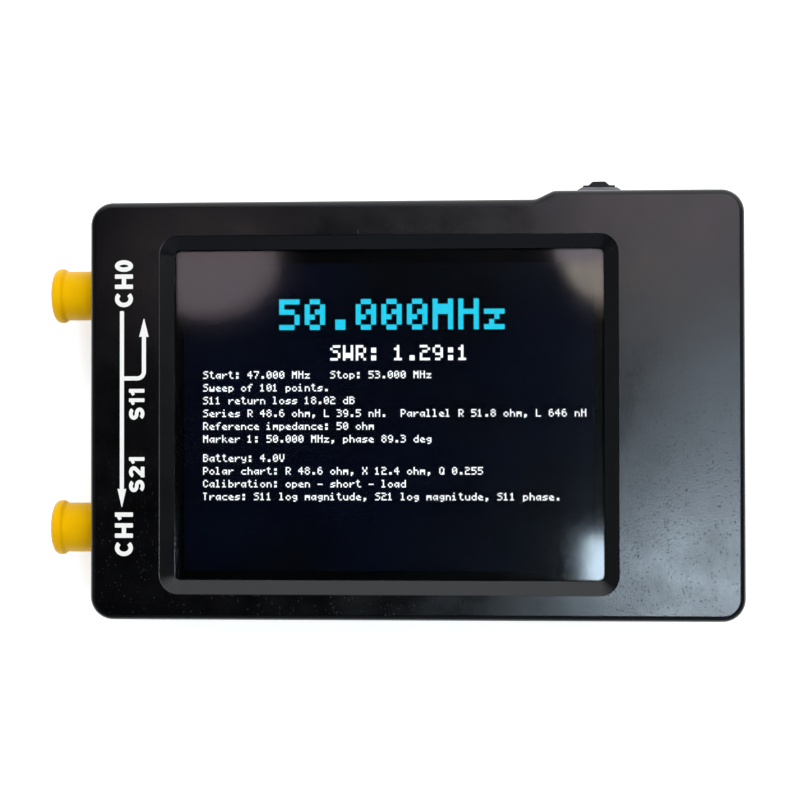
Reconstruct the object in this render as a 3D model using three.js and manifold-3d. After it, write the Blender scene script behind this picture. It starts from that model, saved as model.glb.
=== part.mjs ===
// Pocket antenna analyzer: a colour screen in a two-part moulded case, with two coaxial jacks
// under push-on dust caps, a jog lever, a USB socket and a sliding power switch.
// Millimetres. It lies on its back: +X runs along the case, +Y across it, +Z out of the screen.
// The origin is the centre of the flat rear face.
import * as THREE from "three";
import { mergeVertices } from "three/addons/utils/BufferGeometryUtils.js";
import Module from "manifold-3d";

const wasm = await Module();
wasm.setup();

// Case walls and edges
const sideWall = 2.0;
const frontWall = 1.9;
const rearWall = 2.0;
const cornerRadius = 3.2;
const frontFillet = 0.9;
const rearFillet = 1.2;
const leastRadius = 0.3;
const edgeStep = 1.2; // how far the top right edge stands out
const slopeRun = 2.5;
const stepRadius = 2.0;
const lipHeight = 1.2;
const lipThickness = 0.9;
const lipGap = 0.2;

// Clearances
const seatGap = 0.3; // between pieces that meet
const slideGap = 0.15; // between pieces that run in each other
const overrun = 1.0; // how far a cutter runs past what it cuts

// Screen module
const activeLength = 57.6;
const activeWidth = 43.2;
const farMargin = 3.0;
const driverMargin = 8.6;
const moduleSideMargin = 3.4;
const glassHeight = 1.2;
const glassInset = 0.8;
const backlightHeight = 2.0;
const trayWall = 0.6;
const traySkirt = 0.8;
const touchHeight = 1.1;
const gasketHeight = 0.3;
const gasketInset = 0.4;
const moduleRadius = 0.6;
const foamHeight = 0.9;
const foamWidth = 6.0;
const foamEndGap = 4.0;
const flexWidth = 22.0;
const flexThickness = 0.2;
const flexBulge = 1.6;
const flexTail = 6.0;

// Window and its bevel
const windowMarginLeft = 1.1;
const windowMarginRight = 1.35;
const windowMarginBottom = 1.2;
const windowMarginTop = 1.8;
const bevelWidth = 1.87;
const bevelDepth = 1.4;
const windowRadius = 0.8;

// Room round the screen module, inside the walls
const jackBay = 7.8;
const switchBay = 10.0;
const bottomBay = 1.3;
const topBay = 3.1;
const locatingRib = 1.0;
const locatingRibLength = 6.0;
const locatingRibHeight = 2.5;

// Battery
const batteryLength = 34.0;
const batteryHeight = 4.0;
const batteryHeadroom = 1.8;
const batteryBottomGap = 2.2;
const batteryTopGap = 0.6;
const batteryRadius = 1.5;
const tapeThickness = 0.2;
const tapeInset = 4.0;
const batteryRib = 1.0;
const batteryRibHeight = 1.6;
const batteryRibLength = 12.0;

// Circuit board
const boardThickness = 1.6;
const boardGap = 0.4;
const notchGap = 0.4;
const boardScrewRadius = 0.9;
const boardScrewHeadRadius = 1.8;
const boardScrewHeadHeight = 1.1;
const boardScrewReach = 3.6;
const standoffRadius = 2.2;
const standoffInset = 3.75;
const standoffGap = 2.85;

// Case screws and their bosses
const bossRadius = 2.45;
const bossReach = 1.6;
const screwRadius = 1.0;
const screwHeadRadius = 1.7;
const screwHeadHeight = 1.3;
const counterboreRadius = 1.95;
const counterboreDepth = 2.2;
const screwReach = 9.0;
const screwEndGap = 1.2;

// Coaxial jacks
const flangeSide = 6.4;
const flangeThickness = 1.7;
const barrelRadius = 3.1;
const barrelLength = 8.4;
const barrelBore = 2.15;
const legSide = 1.0;
const legLength = 4.0;
const jackBossGap = 3.2;
const insulatorLength = 7.2;
const insulatorBore = 0.8;
const contactRadius = 0.64;
const contactBore = 0.4;
const contactBoreDepth = 2.2;
const tailRadius = 0.4;
const tailLength = 3.0;
const jackHoleGap = 0.4;

// Push-on dust caps
const capRadius = 3.55;
const capRimRadius = 3.92;
const capRimLength = 1.9;
const capRimRound = 0.5;
const capEnd = 0.7;

// USB socket
const usbWidth = 8.94;
const usbHeight = 3.26;
const usbDepth = 7.35;
const usbSheet = 0.3;
const usbRecess = 0.4;
const usbTongueWidth = 6.7;
const usbTongueHeight = 0.7;
const usbTongueLength = 4.6;
const usbBackLength = 1.6;
const usbBossGap = 0.23;
const portGap = 0.88;

// Jog lever switch
const jogWidth = 6.8;
const jogDepth = 5.8;
const jogSheet = 0.35;
const jogSlot = 1.9;
const jogSideWall = 0.6;
const noseReach = 1.55;
const noseHalfWidth = 3.1;
const noseTipHalfWidth = 2.5;
const noseChamfer = 0.35;
const carrierThickness = 0.45;
const carrierSide = 2.4;
const pivotPinRadius = 0.5;
const jogPush = 0.5; // travel of the carrier
const hubRadius = 1.1;
const neckHalfWidth = 0.8;
const fanHalfWidth = 1.6;
const shoulderHalfWidth = 2.3;
const shoulderLength = 0.5;
const ridgeBaseHalfWidth = 1.55;
const ridgeHalfWidth = 0.9;
const ridgeHeight = 0.65;
const leverPastNose = 0.2;
const leverToStep = 6.7;

// Power slide switch
const powerWidth = 6.8;
const powerDepth = 2.8;
const powerHeight = 3.0;
const powerSheet = 0.5;
const sliderBaseWidth = 3.0;
const sliderBaseDepth = 0.7;
const stemWidth = 1.5;
const stemHeight = 1.4;
const stemReach = 0.85;
const powerTravel = 2.0;

// Small parts on the board
const canSide = 14.0;
const canHeight = 1.6;
const canSheet = 0.25;
const canGap = 1.5;
const canInset = 5.0;
const mixerLength = 4.9;
const mixerWidth = 3.9;
const mixerHeight = 1.0;
const processorSide = 7.0;
const processorHeight = 1.4;
const codecSide = 5.0;
const codecHeight = 0.9;
const clockSide = 3.0;
const clockHeight = 1.0;
const crystalLength = 11.0;
const crystalWidth = 4.6;
const crystalHeight = 1.5;
const oscillatorLength = 3.2;
const oscillatorWidth = 2.5;
const oscillatorHeight = 0.9;
const chargerSide = 3.0;
const chargerHeight = 1.1;
const regulatorLength = 2.9;
const regulatorWidth = 1.6;
const regulatorHeight = 1.1;
const ledLength = 1.6;
const ledWidth = 0.8;
const ledHeight = 0.6;
const headerWidth = 4.4;
const headerDepth = 4.6;
const headerHeight = 3.4;
const headerWall = 0.5;
const plugPastHeader = 1.2;
const leadRadius = 0.55;
const leadSpacing = 1.6;
const leadRise = 1.9;

// Where small parts lie, as shares of the board's half length and half depth
const processorShares = [-0.3, 0.42];
const codecShares = [-0.3, 0.02];
const clockShares = [-0.3, -0.32];
const crystalShares = [-0.3, 0.75];
const oscillatorShares = [-0.3, -0.56];
const chargerShares = [0.6, -0.75];
const regulatorShares = [0.35, -0.75];
const powerLedShares = [0.3, 0.78];
const chargeLedShares = [0.22, 0.78];
const headerShare = -0.1;

// Heights of the stack, from the rear face up
const boardBottom = rearWall + tapeThickness + batteryHeight + batteryHeadroom;
const boardTop = boardBottom + boardThickness;
const backlightBottom = boardTop + foamHeight;
const glassBottom = backlightBottom + backlightHeight;
const touchBottom = glassBottom + glassHeight;
const touchTop = touchBottom + touchHeight;
const frontInner = touchTop + gasketHeight;
const caseHeight = frontInner + frontWall;
const jackHeight = boardBottom - tailRadius - slideGap / 2; // the jacks' axis
const parting = jackHeight;

// Case outline, worked out from the screen module and the room round it
const moduleLength = activeLength + farMargin + driverMargin;
const moduleWidth = activeWidth + 2 * moduleSideMargin;
const innerLength = jackBay + moduleLength + switchBay;
const innerDepth = bottomBay + moduleWidth + topBay;
const halfLength = innerLength / 2 + sideWall;
const halfDepth = innerDepth / 2 + sideWall;
const innerLeft = -innerLength / 2;
const innerRight = innerLength / 2;
const innerBottom = -innerDepth / 2;
const innerTop = innerDepth / 2;
const raisedTop = innerTop + edgeStep;
const outerTop = halfDepth + edgeStep;
const moduleX = innerLeft + jackBay + moduleLength / 2;
const moduleY = innerBottom + bottomBay + moduleWidth / 2;
const activeX = innerLeft + jackBay + farMargin + activeLength / 2;
const bossX = innerRight - bossReach;
const bossY = innerTop - bossReach;

// Ports along the raised edge, from the corner boss to the left
const usbX = bossX - bossRadius - usbBossGap - usbWidth / 2;
const jogX = usbX - usbWidth / 2 - portGap - jogWidth / 2;
const stepX = jogX - leverToStep;
const raisedBoardEdge = raisedTop - boardGap;
const pivotY = raisedBoardEdge - jogDepth + jogSideWall + seatGap + jogPush + carrierSide / 2;
const noseY = outerTop + noseReach;

// Left and right walls
const jackY = bossY - bossRadius - jackBossGap - flangeSide / 2;
const standoffX = bossX - bossRadius + standoffInset - standoffRadius * 2;
const standoffY = jackY - flangeSide / 2 - standoffGap - standoffRadius;
const boardLeft = innerLeft + 2 * seatGap + flangeThickness;
const boardRight = innerRight - boardGap;
const powerY = (standoffY + bossY) / 2;
const usbMouth = outerTop - usbRecess;

// The battery ends beside the connector that its leads plug into, and leaves room for them
const headerX = standoffX - standoffRadius - 2 * seatGap - headerWidth / 2;
const headerY = headerShare * innerDepth;
const headerMouth = headerY + headerDepth / 2;
const headerMiddle = boardBottom - headerHeight / 2;
const leadBay = leadRise + leadSpacing + 2 * leadRadius + 2 * seatGap;
const portBack = Math.min(usbMouth - usbDepth, raisedBoardEdge - jogDepth);
const batteryRight = headerX - headerWidth / 2 - batteryRib - 2 * seatGap;
const batteryLeft = batteryRight - batteryLength;
const batteryBottom = innerBottom + batteryBottomGap;
const batteryTop = portBack - leadBay - batteryTopGap;

const steel = { color: 0xb9bcbf, roughness: 0.35, metalness: 1 };
const finishes = {
  blackPlastic: { color: 0x161616, roughness: 0.42, metalness: 0 },
  softBlack: { color: 0x101010, roughness: 0.6, metalness: 0 },
  yellowCap: { color: 0xf2b705, roughness: 0.45, metalness: 0 },
  gold: { color: 0xd6a84a, roughness: 0.3, metalness: 1 },
  steel,
  darkScrew: { color: 0x2a2a2c, roughness: 0.4, metalness: 1 },
  screenGlass: { color: 0x06070a, roughness: 0.08, metalness: 0 },
  touchFilm: { color: 0x0b0c10, roughness: 0.12, metalness: 0 },
  whiteTray: { color: 0xe8e8e4, roughness: 0.5, metalness: 0 },
  insulator: { color: 0xf3f1ea, roughness: 0.5, metalness: 0 },
  boardMask: { color: 0x10261a, roughness: 0.4, metalness: 0 },
  foam: { color: 0x1c1c1c, roughness: 0.95, metalness: 0 },
  amberFilm: { color: 0xa86a1c, roughness: 0.4, metalness: 0 },
  batteryFoil: { color: 0x9ea3a8, roughness: 0.4, metalness: 0.6 },
  chip: { color: 0x1b1b1d, roughness: 0.6, metalness: 0 },
  lampLens: { color: 0xdde6f0, roughness: 0.3, metalness: 0 },
  redLead: { color: 0xb01818, roughness: 0.5, metalness: 0 },
  blackLead: { color: 0x141414, roughness: 0.5, metalness: 0 },
};

// A closed mesh as a solid that can be cut and joined, faces turned outwards
function toSolid(geometry) {
  const bare = geometry.clone();
  bare.deleteAttribute("normal");
  bare.deleteAttribute("uv");
  const merged = mergeVertices(bare, leastRadius / 1000);
  const faces = [];
  const index = merged.index.array;
  for (let i = 0; i < index.length; i += 3) {
    const [a, b, c] = [index[i], index[i + 1], index[i + 2]];
    if (a !== b && b !== c && c !== a) faces.push(a, b, c);
  }
  const build = (order) =>
    new wasm.Manifold(
      new wasm.Mesh({
        numProp: 3,
        vertProperties: merged.attributes.position.array,
        triVerts: new Uint32Array(order),
      }),
    );
  const solid = build(faces);
  return solid.volume() < 0 ? build(faces.reverse()) : solid;
}

function toGeometry(solid) {
  const mesh = solid.getMesh();
  const corners = new Float32Array(mesh.numVert * 3);
  for (let i = 0; i < mesh.numVert; i++) {
    for (let k = 0; k < 3; k++) corners[3 * i + k] = mesh.vertProperties[i * mesh.numProp + k];
  }
  const geometry = new THREE.BufferGeometry();
  geometry.setAttribute("position", new THREE.BufferAttribute(corners, 3));
  geometry.setIndex(new THREE.BufferAttribute(mesh.triVerts, 1));
  const flat = geometry.toNonIndexed();
  flat.computeVertexNormals();
  return flat;
}

const join = (...solids) => solids.reduce((all, one) => all.add(one));
const cut = (solid, ...cutters) => cutters.reduce((left, one) => left.subtract(one), solid);

// A box between two corners
function block(x0, y0, z0, x1, y1, z1) {
  const box = new THREE.BoxGeometry(x1 - x0, y1 - y0, z1 - z0);
  return toSolid(box.translate((x0 + x1) / 2, (y0 + y1) / 2, (z0 + z1) / 2));
}

// A round post along Z
function post(radius, z0, z1, x = 0, y = 0, sides = 20) {
  const round = new THREE.CylinderGeometry(radius, radius, z1 - z0, sides);
  return toSolid(round.rotateX(Math.PI / 2).translate(x, y, (z0 + z1) / 2));
}

// A profile of [radius, height] pairs turned about Z
function turned(profile, sides) {
  const points = profile.map(([radius, height]) => new THREE.Vector2(radius, height));
  return toSolid(new THREE.LatheGeometry(points, sides).rotateX(Math.PI / 2));
}

// A flat outline drawn up from z0 to z1
function prism(points, z0, z1) {
  const shape = new THREE.Shape(points);
  const body = new THREE.ExtrudeGeometry(shape, { depth: z1 - z0, bevelEnabled: false });
  return toSolid(body.translate(0, 0, z0));
}

const leftOf = (direction) => new THREE.Vector2(-direction.y, direction.x);

// Outline of a polygon moved inwards by inset, with its corners rounded
function roundedOutline(corners, inset) {
  const points = [];
  corners.forEach((corner, i) => {
    const before = corners[(i + corners.length - 1) % corners.length];
    const after = corners[(i + 1) % corners.length];
    const comes = corner.at.clone().sub(before.at).normalize();
    const goes = after.at.clone().sub(corner.at).normalize();
    const turn = Math.atan2(comes.cross(goes), comes.dot(goes));
    const bulges = turn > 0;
    const radius = bulges ? Math.max(corner.radius - inset, leastRadius) : corner.radius + inset;
    const shift = leftOf(comes).add(leftOf(goes)).multiplyScalar(inset / (1 + comes.dot(goes)));
    const tangent = radius * Math.tan(Math.abs(turn) / 2);
    const start = corner.at.clone().add(shift).addScaledVector(comes, -tangent);
    const centre = start.clone().addScaledVector(leftOf(comes), bulges ? radius : -radius);
    for (let k = 0; k <= corner.steps; k++) {
      points.push(start.clone().rotateAround(centre, (turn * k) / corner.steps));
    }
  });
  return points;
}

function rectangleCorners(x0, y0, x1, y1, radius, steps) {
  const places = [
    [x0, y0],
    [x1, y0],
    [x1, y1],
    [x0, y1],
  ];
  return places.map(([x, y]) => ({ at: new THREE.Vector2(x, y), radius, steps }));
}

const roundedBlock = (x0, y0, z0, x1, y1, z1, radius) =>
  prism(roundedOutline(rectangleCorners(x0, y0, x1, y1, radius, 3), 0), z0, z1);

// A closed solid through level rings of equal point count, each an outline and its height
function loft(rings) {
  const count = rings[0].outline.length;
  const corners = [];
  for (const ring of rings) {
    for (const point of ring.outline) corners.push(point.x, point.y, ring.z);
  }
  const faces = [];
  for (let r = 0; r + 1 < rings.length; r++) {
    for (let i = 0; i < count; i++) {
      const a = r * count + i;
      const b = r * count + ((i + 1) % count);
      faces.push(a, b, b + count, a, b + count, a + count);
    }
  }
  const top = (rings.length - 1) * count;
  for (const [a, b, c] of THREE.ShapeUtils.triangulateShape(rings[0].outline, [])) faces.push(c, b, a);
  for (const [a, b, c] of THREE.ShapeUtils.triangulateShape(rings.at(-1).outline, [])) {
    faces.push(top + a, top + b, top + c);
  }
  const geometry = new THREE.BufferGeometry();
  geometry.setAttribute("position", new THREE.Float32BufferAttribute(corners, 3));
  geometry.setIndex(faces);
  return toSolid(geometry);
}

// The case seen from the front, counter-clockwise, with its stepped top right edge
const caseCorners = [
  [-halfLength, -halfDepth, cornerRadius, 5],
  [halfLength, -halfDepth, cornerRadius, 5],
  [halfLength, outerTop, cornerRadius, 5],
  [stepX, outerTop, stepRadius, 2],
  [stepX - slopeRun, halfDepth, stepRadius, 2],
  [-halfLength, halfDepth, cornerRadius, 5],
].map(([x, y, radius, steps]) => ({ at: new THREE.Vector2(x, y), radius, steps }));

const caseRing = (inset, z) => ({ outline: roundedOutline(caseCorners, inset), z });
const filletAngles = [0, 30, 60, 90].map(THREE.MathUtils.degToRad);

const windowCorners = rectangleCorners(
  activeX - activeLength / 2 - windowMarginLeft - bevelWidth,
  moduleY - activeWidth / 2 - windowMarginBottom - bevelWidth,
  activeX + activeLength / 2 + windowMarginRight + bevelWidth,
  moduleY + activeWidth / 2 + windowMarginTop + bevelWidth,
  windowRadius + bevelWidth,
  4,
);
const windowRing = (inset, z) => ({ outline: roundedOutline(windowCorners, inset), z });

const bossPlaces = [
  [-bossX, -bossY],
  [bossX, -bossY],
  [bossX, bossY],
  [-bossX, bossY],
];
const standoffPlaces = [
  [-standoffX, -standoffY],
  [standoffX, -standoffY],
  [standoffX, standoffY],
  [-standoffX, standoffY],
];
const jackPlaces = [jackY, -jackY];

// Rounded slot for the USB socket's mouth, in the wall's own plane
function usbOutline(grow) {
  const halfWidth = usbWidth / 2 + grow;
  const halfHeight = usbHeight / 2 + grow;
  const corners = rectangleCorners(-halfWidth, -halfHeight, halfWidth, halfHeight, halfHeight, 4);
  return roundedOutline(corners, 0);
}

// An outline in X and Z drawn along +Y
function alongY(points, y0, y1, x, z) {
  const shape = new THREE.Shape(points);
  const body = new THREE.ExtrudeGeometry(shape, { depth: y1 - y0, bevelEnabled: false });
  return toSolid(body.rotateX(Math.PI / 2).translate(x, y1, z));
}

const usbMiddle = boardBottom - usbHeight / 2;
const jogMiddle = boardBottom - 2 * jogSheet - jogSlot / 2;
const powerMiddle = boardBottom - powerHeight / 2;

// Cutters for what comes through the side walls, shared by both halves of the case
function portCutters() {
  const jackHoles = jackPlaces.map((y) => {
    const radius = Math.max(barrelRadius + jackHoleGap, leastRadius);
    const hole = new THREE.CylinderGeometry(radius, radius, sideWall + 2 * overrun, 24);
    return toSolid(hole.rotateZ(Math.PI / 2).translate(-halfLength + sideWall / 2, y, jackHeight));
  });
  const usbHole = alongY(usbOutline(seatGap), raisedTop - overrun, outerTop + overrun, usbX, usbMiddle);
  const jogHalfHeight = jogSlot / 2 + jogSheet + seatGap;
  const jogHalfWidth = noseHalfWidth + seatGap;
  const jogHole = block(
    jogX - jogHalfWidth,
    raisedTop - overrun,
    jogMiddle - jogHalfHeight,
    jogX + jogHalfWidth,
    outerTop + overrun,
    jogMiddle + jogHalfHeight,
  );
  const powerHalf = (stemWidth + powerTravel) / 2 + seatGap;
  const powerHole = block(
    innerRight - overrun,
    powerY - powerHalf,
    powerMiddle - stemHeight / 2 - seatGap,
    halfLength + overrun,
    powerY + powerHalf,
    powerMiddle + stemHeight / 2 + seatGap,
  );
  return [...jackHoles, usbHole, jogHole, powerHole];
}

function frontShell() {
  const skin = loft([
    caseRing(0, parting),
    ...filletAngles.map((angle) =>
      caseRing(frontFillet * (1 - Math.cos(angle)), caseHeight - frontFillet * (1 - Math.sin(angle))),
    ),
  ]);
  const hollow = loft([caseRing(sideWall, parting - overrun), caseRing(sideWall, frontInner)]);
  const rebateInset = sideWall - lipThickness - lipGap;
  const rebate = loft([
    caseRing(rebateInset, parting - overrun),
    caseRing(rebateInset, parting + lipHeight + lipGap),
  ]);
  const opening = loft([
    windowRing(bevelWidth, frontInner - overrun),
    windowRing(bevelWidth, caseHeight - bevelDepth),
    windowRing(0, caseHeight),
    windowRing(0, caseHeight + overrun),
  ]);
  let shell = cut(skin, hollow, rebate);
  shell = join(shell, ...locatingRibs());
  for (const [x, y] of bossPlaces) {
    shell = join(shell, post(bossRadius, parting, frontInner + frontWall / 2, x, y));
  }
  shell = shell.subtract(opening);
  for (const [x, y] of bossPlaces) {
    const end = counterboreDepth + screwReach + screwEndGap;
    shell = shell.subtract(post(screwRadius + slideGap, parting - overrun, end, x, y, 16));
  }
  return toGeometry(cut(shell, ...portCutters()));
}

// Short ribs under the front wall that hold the screen module in place at its corners
function locatingRibs() {
  const left = moduleX - moduleLength / 2 - seatGap;
  const right = moduleX + moduleLength / 2 + seatGap;
  const bottom = moduleY - moduleWidth / 2 - seatGap;
  const top = moduleY + moduleWidth / 2 + seatGap;
  const low = frontInner - locatingRibHeight;
  const high = frontInner + frontWall / 2;
  const ribs = [];
  for (const y of [bottom - locatingRib, top - locatingRibLength]) {
    const end = y + locatingRibLength + locatingRib;
    ribs.push(block(left - locatingRib, y, low, left, end, high));
    ribs.push(block(right, y, low, right + locatingRib, end, high));
  }
  for (const x of [left, right - locatingRibLength]) {
    ribs.push(block(x, bottom - locatingRib, low, x + locatingRibLength, bottom, high));
    ribs.push(block(x, top, low, x + locatingRibLength, top + locatingRib, high));
  }
  return ribs;
}

function rearShell() {
  const skin = loft([
    ...filletAngles
      .toReversed()
      .map((angle) => caseRing(rearFillet * (1 - Math.cos(angle)), rearFillet * (1 - Math.sin(angle)))),
    caseRing(0, parting),
  ]);
  const hollow = loft([caseRing(sideWall, rearWall), caseRing(sideWall, parting + lipHeight + overrun)]);
  const lip = loft([
    caseRing(sideWall - lipThickness, parting - lipHeight),
    caseRing(sideWall - lipThickness, parting + lipHeight),
  ]);
  let shell = cut(join(skin, lip), hollow);
  for (const [x, y] of bossPlaces) {
    shell = join(shell, post(bossRadius, rearWall / 2, parting, x, y));
  }
  for (const [x, y] of standoffPlaces) {
    shell = join(shell, post(standoffRadius, rearWall / 2, boardBottom, x, y));
  }
  shell = join(shell, ...batteryRibs());
  for (const [x, y] of bossPlaces) {
    const bore = post(screwRadius + slideGap, -overrun, parting + lipHeight + overrun, x, y, 16);
    shell = cut(shell, bore, post(counterboreRadius, -overrun, counterboreDepth, x, y));
  }
  for (const [x, y] of standoffPlaces) {
    const depth = boardBottom - boardScrewReach - seatGap;
    shell = shell.subtract(post(boardScrewRadius + slideGap, depth, boardBottom + overrun, x, y, 12));
  }
  // The lip gives way to the front half's bosses
  for (const [x, y] of bossPlaces) {
    shell = shell.subtract(post(bossRadius + lipGap, parting, parting + lipHeight + overrun, x, y));
  }
  return toGeometry(cut(shell, ...portCutters()));
}

// Low ribs on the rear wall that stop the battery from sliding
function batteryRibs() {
  const low = rearWall / 2;
  const high = rearWall + batteryRibHeight;
  const middleX = (batteryLeft + batteryRight) / 2;
  const middleY = (batteryBottom + batteryTop) / 2;
  const half = batteryRibLength / 2;
  const left = batteryLeft - seatGap;
  const right = batteryRight + seatGap;
  const bottom = batteryBottom - seatGap;
  const top = batteryTop + seatGap;
  return [
    block(left - batteryRib, middleY - half, low, left, middleY + half, high),
    block(right, middleY - half, low, right + batteryRib, middleY + half, high),
    block(middleX - half, bottom - batteryRib, low, middleX + half, bottom, high),
    block(middleX - half, top, low, middleX + half, top + batteryRib, high),
  ];
}

function mainBoard() {
  const plate = loft([
    caseRing(sideWall + boardGap, boardBottom),
    caseRing(sideWall + boardGap, boardTop),
  ]);
  const low = boardBottom - overrun;
  const high = boardTop + overrun;
  const far = halfLength + overrun;
  const wide = outerTop + overrun;
  const cutters = [block(-far, -wide, low, boardLeft, wide, high)];
  const notchX = bossX - bossRadius - notchGap;
  const notchY = bossY - bossRadius - notchGap;
  for (const [x, y] of bossPlaces) {
    const [sideX, sideY] = [Math.sign(x), Math.sign(y)];
    const xs = [sideX * notchX, sideX * far].sort((a, b) => a - b);
    const ys = [sideY * notchY, sideY * wide].sort((a, b) => a - b);
    cutters.push(block(xs[0], ys[0], low, xs[1], ys[1], high));
  }
  for (const [x, y] of standoffPlaces) {
    cutters.push(post(boardScrewRadius + seatGap, low, high, x, y, 14));
  }
  return toGeometry(cut(plate, ...cutters));
}

// A self-tapping screw, head down, with its seat at the origin and its shank along +Z
function screw(shankRadius, headRadius, headHeight, reach) {
  const tip = shankRadius;
  const crown = headHeight / 4;
  return toGeometry(
    turned(
      [
        [0, -headHeight],
        [headRadius - crown, -headHeight],
        [headRadius, crown - headHeight],
        [headRadius, 0],
        [shankRadius, 0],
        [shankRadius, reach - tip],
        [shankRadius / 3, reach],
        [0, reach],
      ],
      14,
    ),
  );
}

// A jack body about its own axis: +Z points out of the case, +X up, and the flange's face is at 0
function jackBody() {
  const half = flangeSide / 2;
  const flange = block(-half, -half, -flangeThickness, half, half, 0);
  const chamfer = legSide / 3;
  const barrel = turned(
    [
      [0, -flangeThickness / 2],
      [barrelRadius, -flangeThickness / 2],
      [barrelRadius, barrelLength - chamfer],
      [barrelRadius - chamfer, barrelLength],
      [0, barrelLength],
    ],
    24,
  );
  const upperFace = boardTop - jackHeight;
  const lowerFace = boardBottom - jackHeight;
  const legs = [];
  for (const y of [half - legSide, -half]) {
    for (const x of [upperFace, lowerFace - legSide]) {
      const root = -flangeThickness / 2;
      legs.push(block(x, y, -flangeThickness - legLength, x + legSide, y + legSide, root));
    }
  }
  const bore = post(barrelBore, -flangeThickness - overrun, barrelLength + overrun, 0, 0, 16);
  return toGeometry(cut(join(flange, barrel, ...legs), bore));
}

function jackInsulator() {
  const tube = post(barrelBore - slideGap, -flangeThickness, insulatorLength - flangeThickness, 0, 0, 16);
  const bore = post(insulatorBore, -flangeThickness - overrun, insulatorLength + overrun, 0, 0, 12);
  return toGeometry(tube.subtract(bore));
}

function jackContact() {
  const front = insulatorLength - flangeThickness;
  const tailEnd = -flangeThickness - tailLength;
  const pin = turned(
    [
      [0, tailEnd],
      [tailRadius, tailEnd],
      [tailRadius, -flangeThickness],
      [contactRadius, -flangeThickness],
      [contactRadius, front],
      [0, front],
    ],
    12,
  );
  return toGeometry(pin.subtract(post(contactBore, front - contactBoreDepth, front + overrun, 0, 0, 8)));
}

const capStart = sideWall + 2 * seatGap; // along the jack's axis, from the flange's face
const capTip = barrelLength + seatGap + capEnd;

function dustCap() {
  const bore = barrelRadius + slideGap;
  const rimStart = capTip - capRimLength;
  const roundCut = capRimRound * (1 - Math.SQRT1_2);
  return toGeometry(
    turned(
      [
        [0, capTip - capEnd],
        [bore, capTip - capEnd],
        [bore, capStart],
        [capRadius, capStart],
        [capRadius, rimStart],
        [capRimRadius - capRimRound / 3, rimStart + capRimRound / 2],
        [capRimRadius, rimStart + capRimRound],
        [capRimRadius, capTip - capRimRound],
        [capRimRadius - roundCut, capTip - roundCut],
        [capRimRadius - capRimRound, capTip],
        [0, capTip],
      ],
      24,
    ),
  );
}

function usbShell() {
  const back = usbMouth - usbDepth;
  const tube = alongY(usbOutline(0), back, usbMouth, usbX, usbMiddle);
  const bore = alongY(usbOutline(-usbSheet), back + usbSheet, usbMouth + overrun, usbX, usbMiddle);
  return toGeometry(tube.subtract(bore));
}

function usbInsert() {
  const start = usbMouth - usbDepth + usbSheet + slideGap;
  const back = alongY(usbOutline(-usbSheet - slideGap), start, start + usbBackLength, usbX, usbMiddle);
  const tongue = block(
    usbX - usbTongueWidth / 2,
    start + usbBackLength / 2,
    usbMiddle - usbTongueHeight / 2,
    usbX + usbTongueWidth / 2,
    start + usbBackLength + usbTongueLength,
    usbMiddle + usbTongueHeight / 2,
  );
  return toGeometry(back.add(tongue));
}

// Sheet-metal housing of the jog lever, open at the front, with two noses through the case wall
function jogHousing() {
  const half = jogWidth / 2;
  const back = raisedBoardEdge - jogDepth;
  const top = boardBottom;
  const bottom = jogMiddle - jogSlot / 2 - 2 * jogSheet;
  const body = block(jogX - half, back, bottom, jogX + half, raisedBoardEdge, top);
  const noseOutline = [
    [-noseHalfWidth, raisedBoardEdge - jogSheet],
    [noseHalfWidth, raisedBoardEdge - jogSheet],
    [noseHalfWidth, noseY - noseChamfer],
    [noseTipHalfWidth, noseY],
    [-noseTipHalfWidth, noseY],
    [-noseHalfWidth, noseY - noseChamfer],
  ].map(([x, y]) => new THREE.Vector2(jogX + x, y));
  const slotTop = jogMiddle + jogSlot / 2;
  const slotBottom = jogMiddle - jogSlot / 2;
  const noses = [
    prism(noseOutline, slotTop, slotTop + jogSheet),
    prism(noseOutline, slotBottom - jogSheet, slotBottom),
  ];
  const room = block(
    jogX - half + jogSideWall,
    back + jogSideWall,
    slotBottom,
    jogX + half - jogSideWall,
    raisedBoardEdge + overrun,
    slotTop,
  );
  return toGeometry(cut(join(body, ...noses), room));
}

const carrierBottom = jogMiddle - jogSlot / 2 + slideGap;
const leverBottom = carrierBottom + carrierThickness + slideGap;
const leverTop = jogMiddle + jogSlot / 2 - slideGap;

// The slide that carries the lever's pivot pin and takes the push
function jogCarrier() {
  const half = carrierSide / 2;
  const plateTop = carrierBottom + carrierThickness;
  const plate = block(jogX - half, pivotY - half, carrierBottom, jogX + half, pivotY + half, plateTop);
  return toGeometry(plate.add(post(pivotPinRadius, carrierBottom, leverTop, jogX, pivotY, 12)));
}

function jogLever() {
  const tip = noseY + leverPastNose;
  const side = [
    [neckHalfWidth, pivotY + hubRadius / 2],
    [neckHalfWidth, raisedTop],
    [fanHalfWidth, outerTop + leverPastNose],
    [shoulderHalfWidth, tip - shoulderLength],
    [shoulderHalfWidth, tip],
    [ridgeBaseHalfWidth, tip],
    [ridgeHalfWidth, tip + ridgeHeight],
  ];
  const right = side.map(([x, y]) => new THREE.Vector2(jogX + x, y));
  const left = side.toReversed().map(([x, y]) => new THREE.Vector2(jogX - x, y));
  const arm = prism([...right, ...left], leverBottom, leverTop);
  const hub = post(hubRadius, leverBottom, leverTop, jogX, pivotY, 16);
  const bore = post(pivotPinRadius + slideGap, leverBottom - overrun, leverTop + overrun, jogX, pivotY, 12);
  return toGeometry(arm.add(hub).subtract(bore));
}

const channelDepth = sliderBaseDepth + 2 * slideGap;

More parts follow.
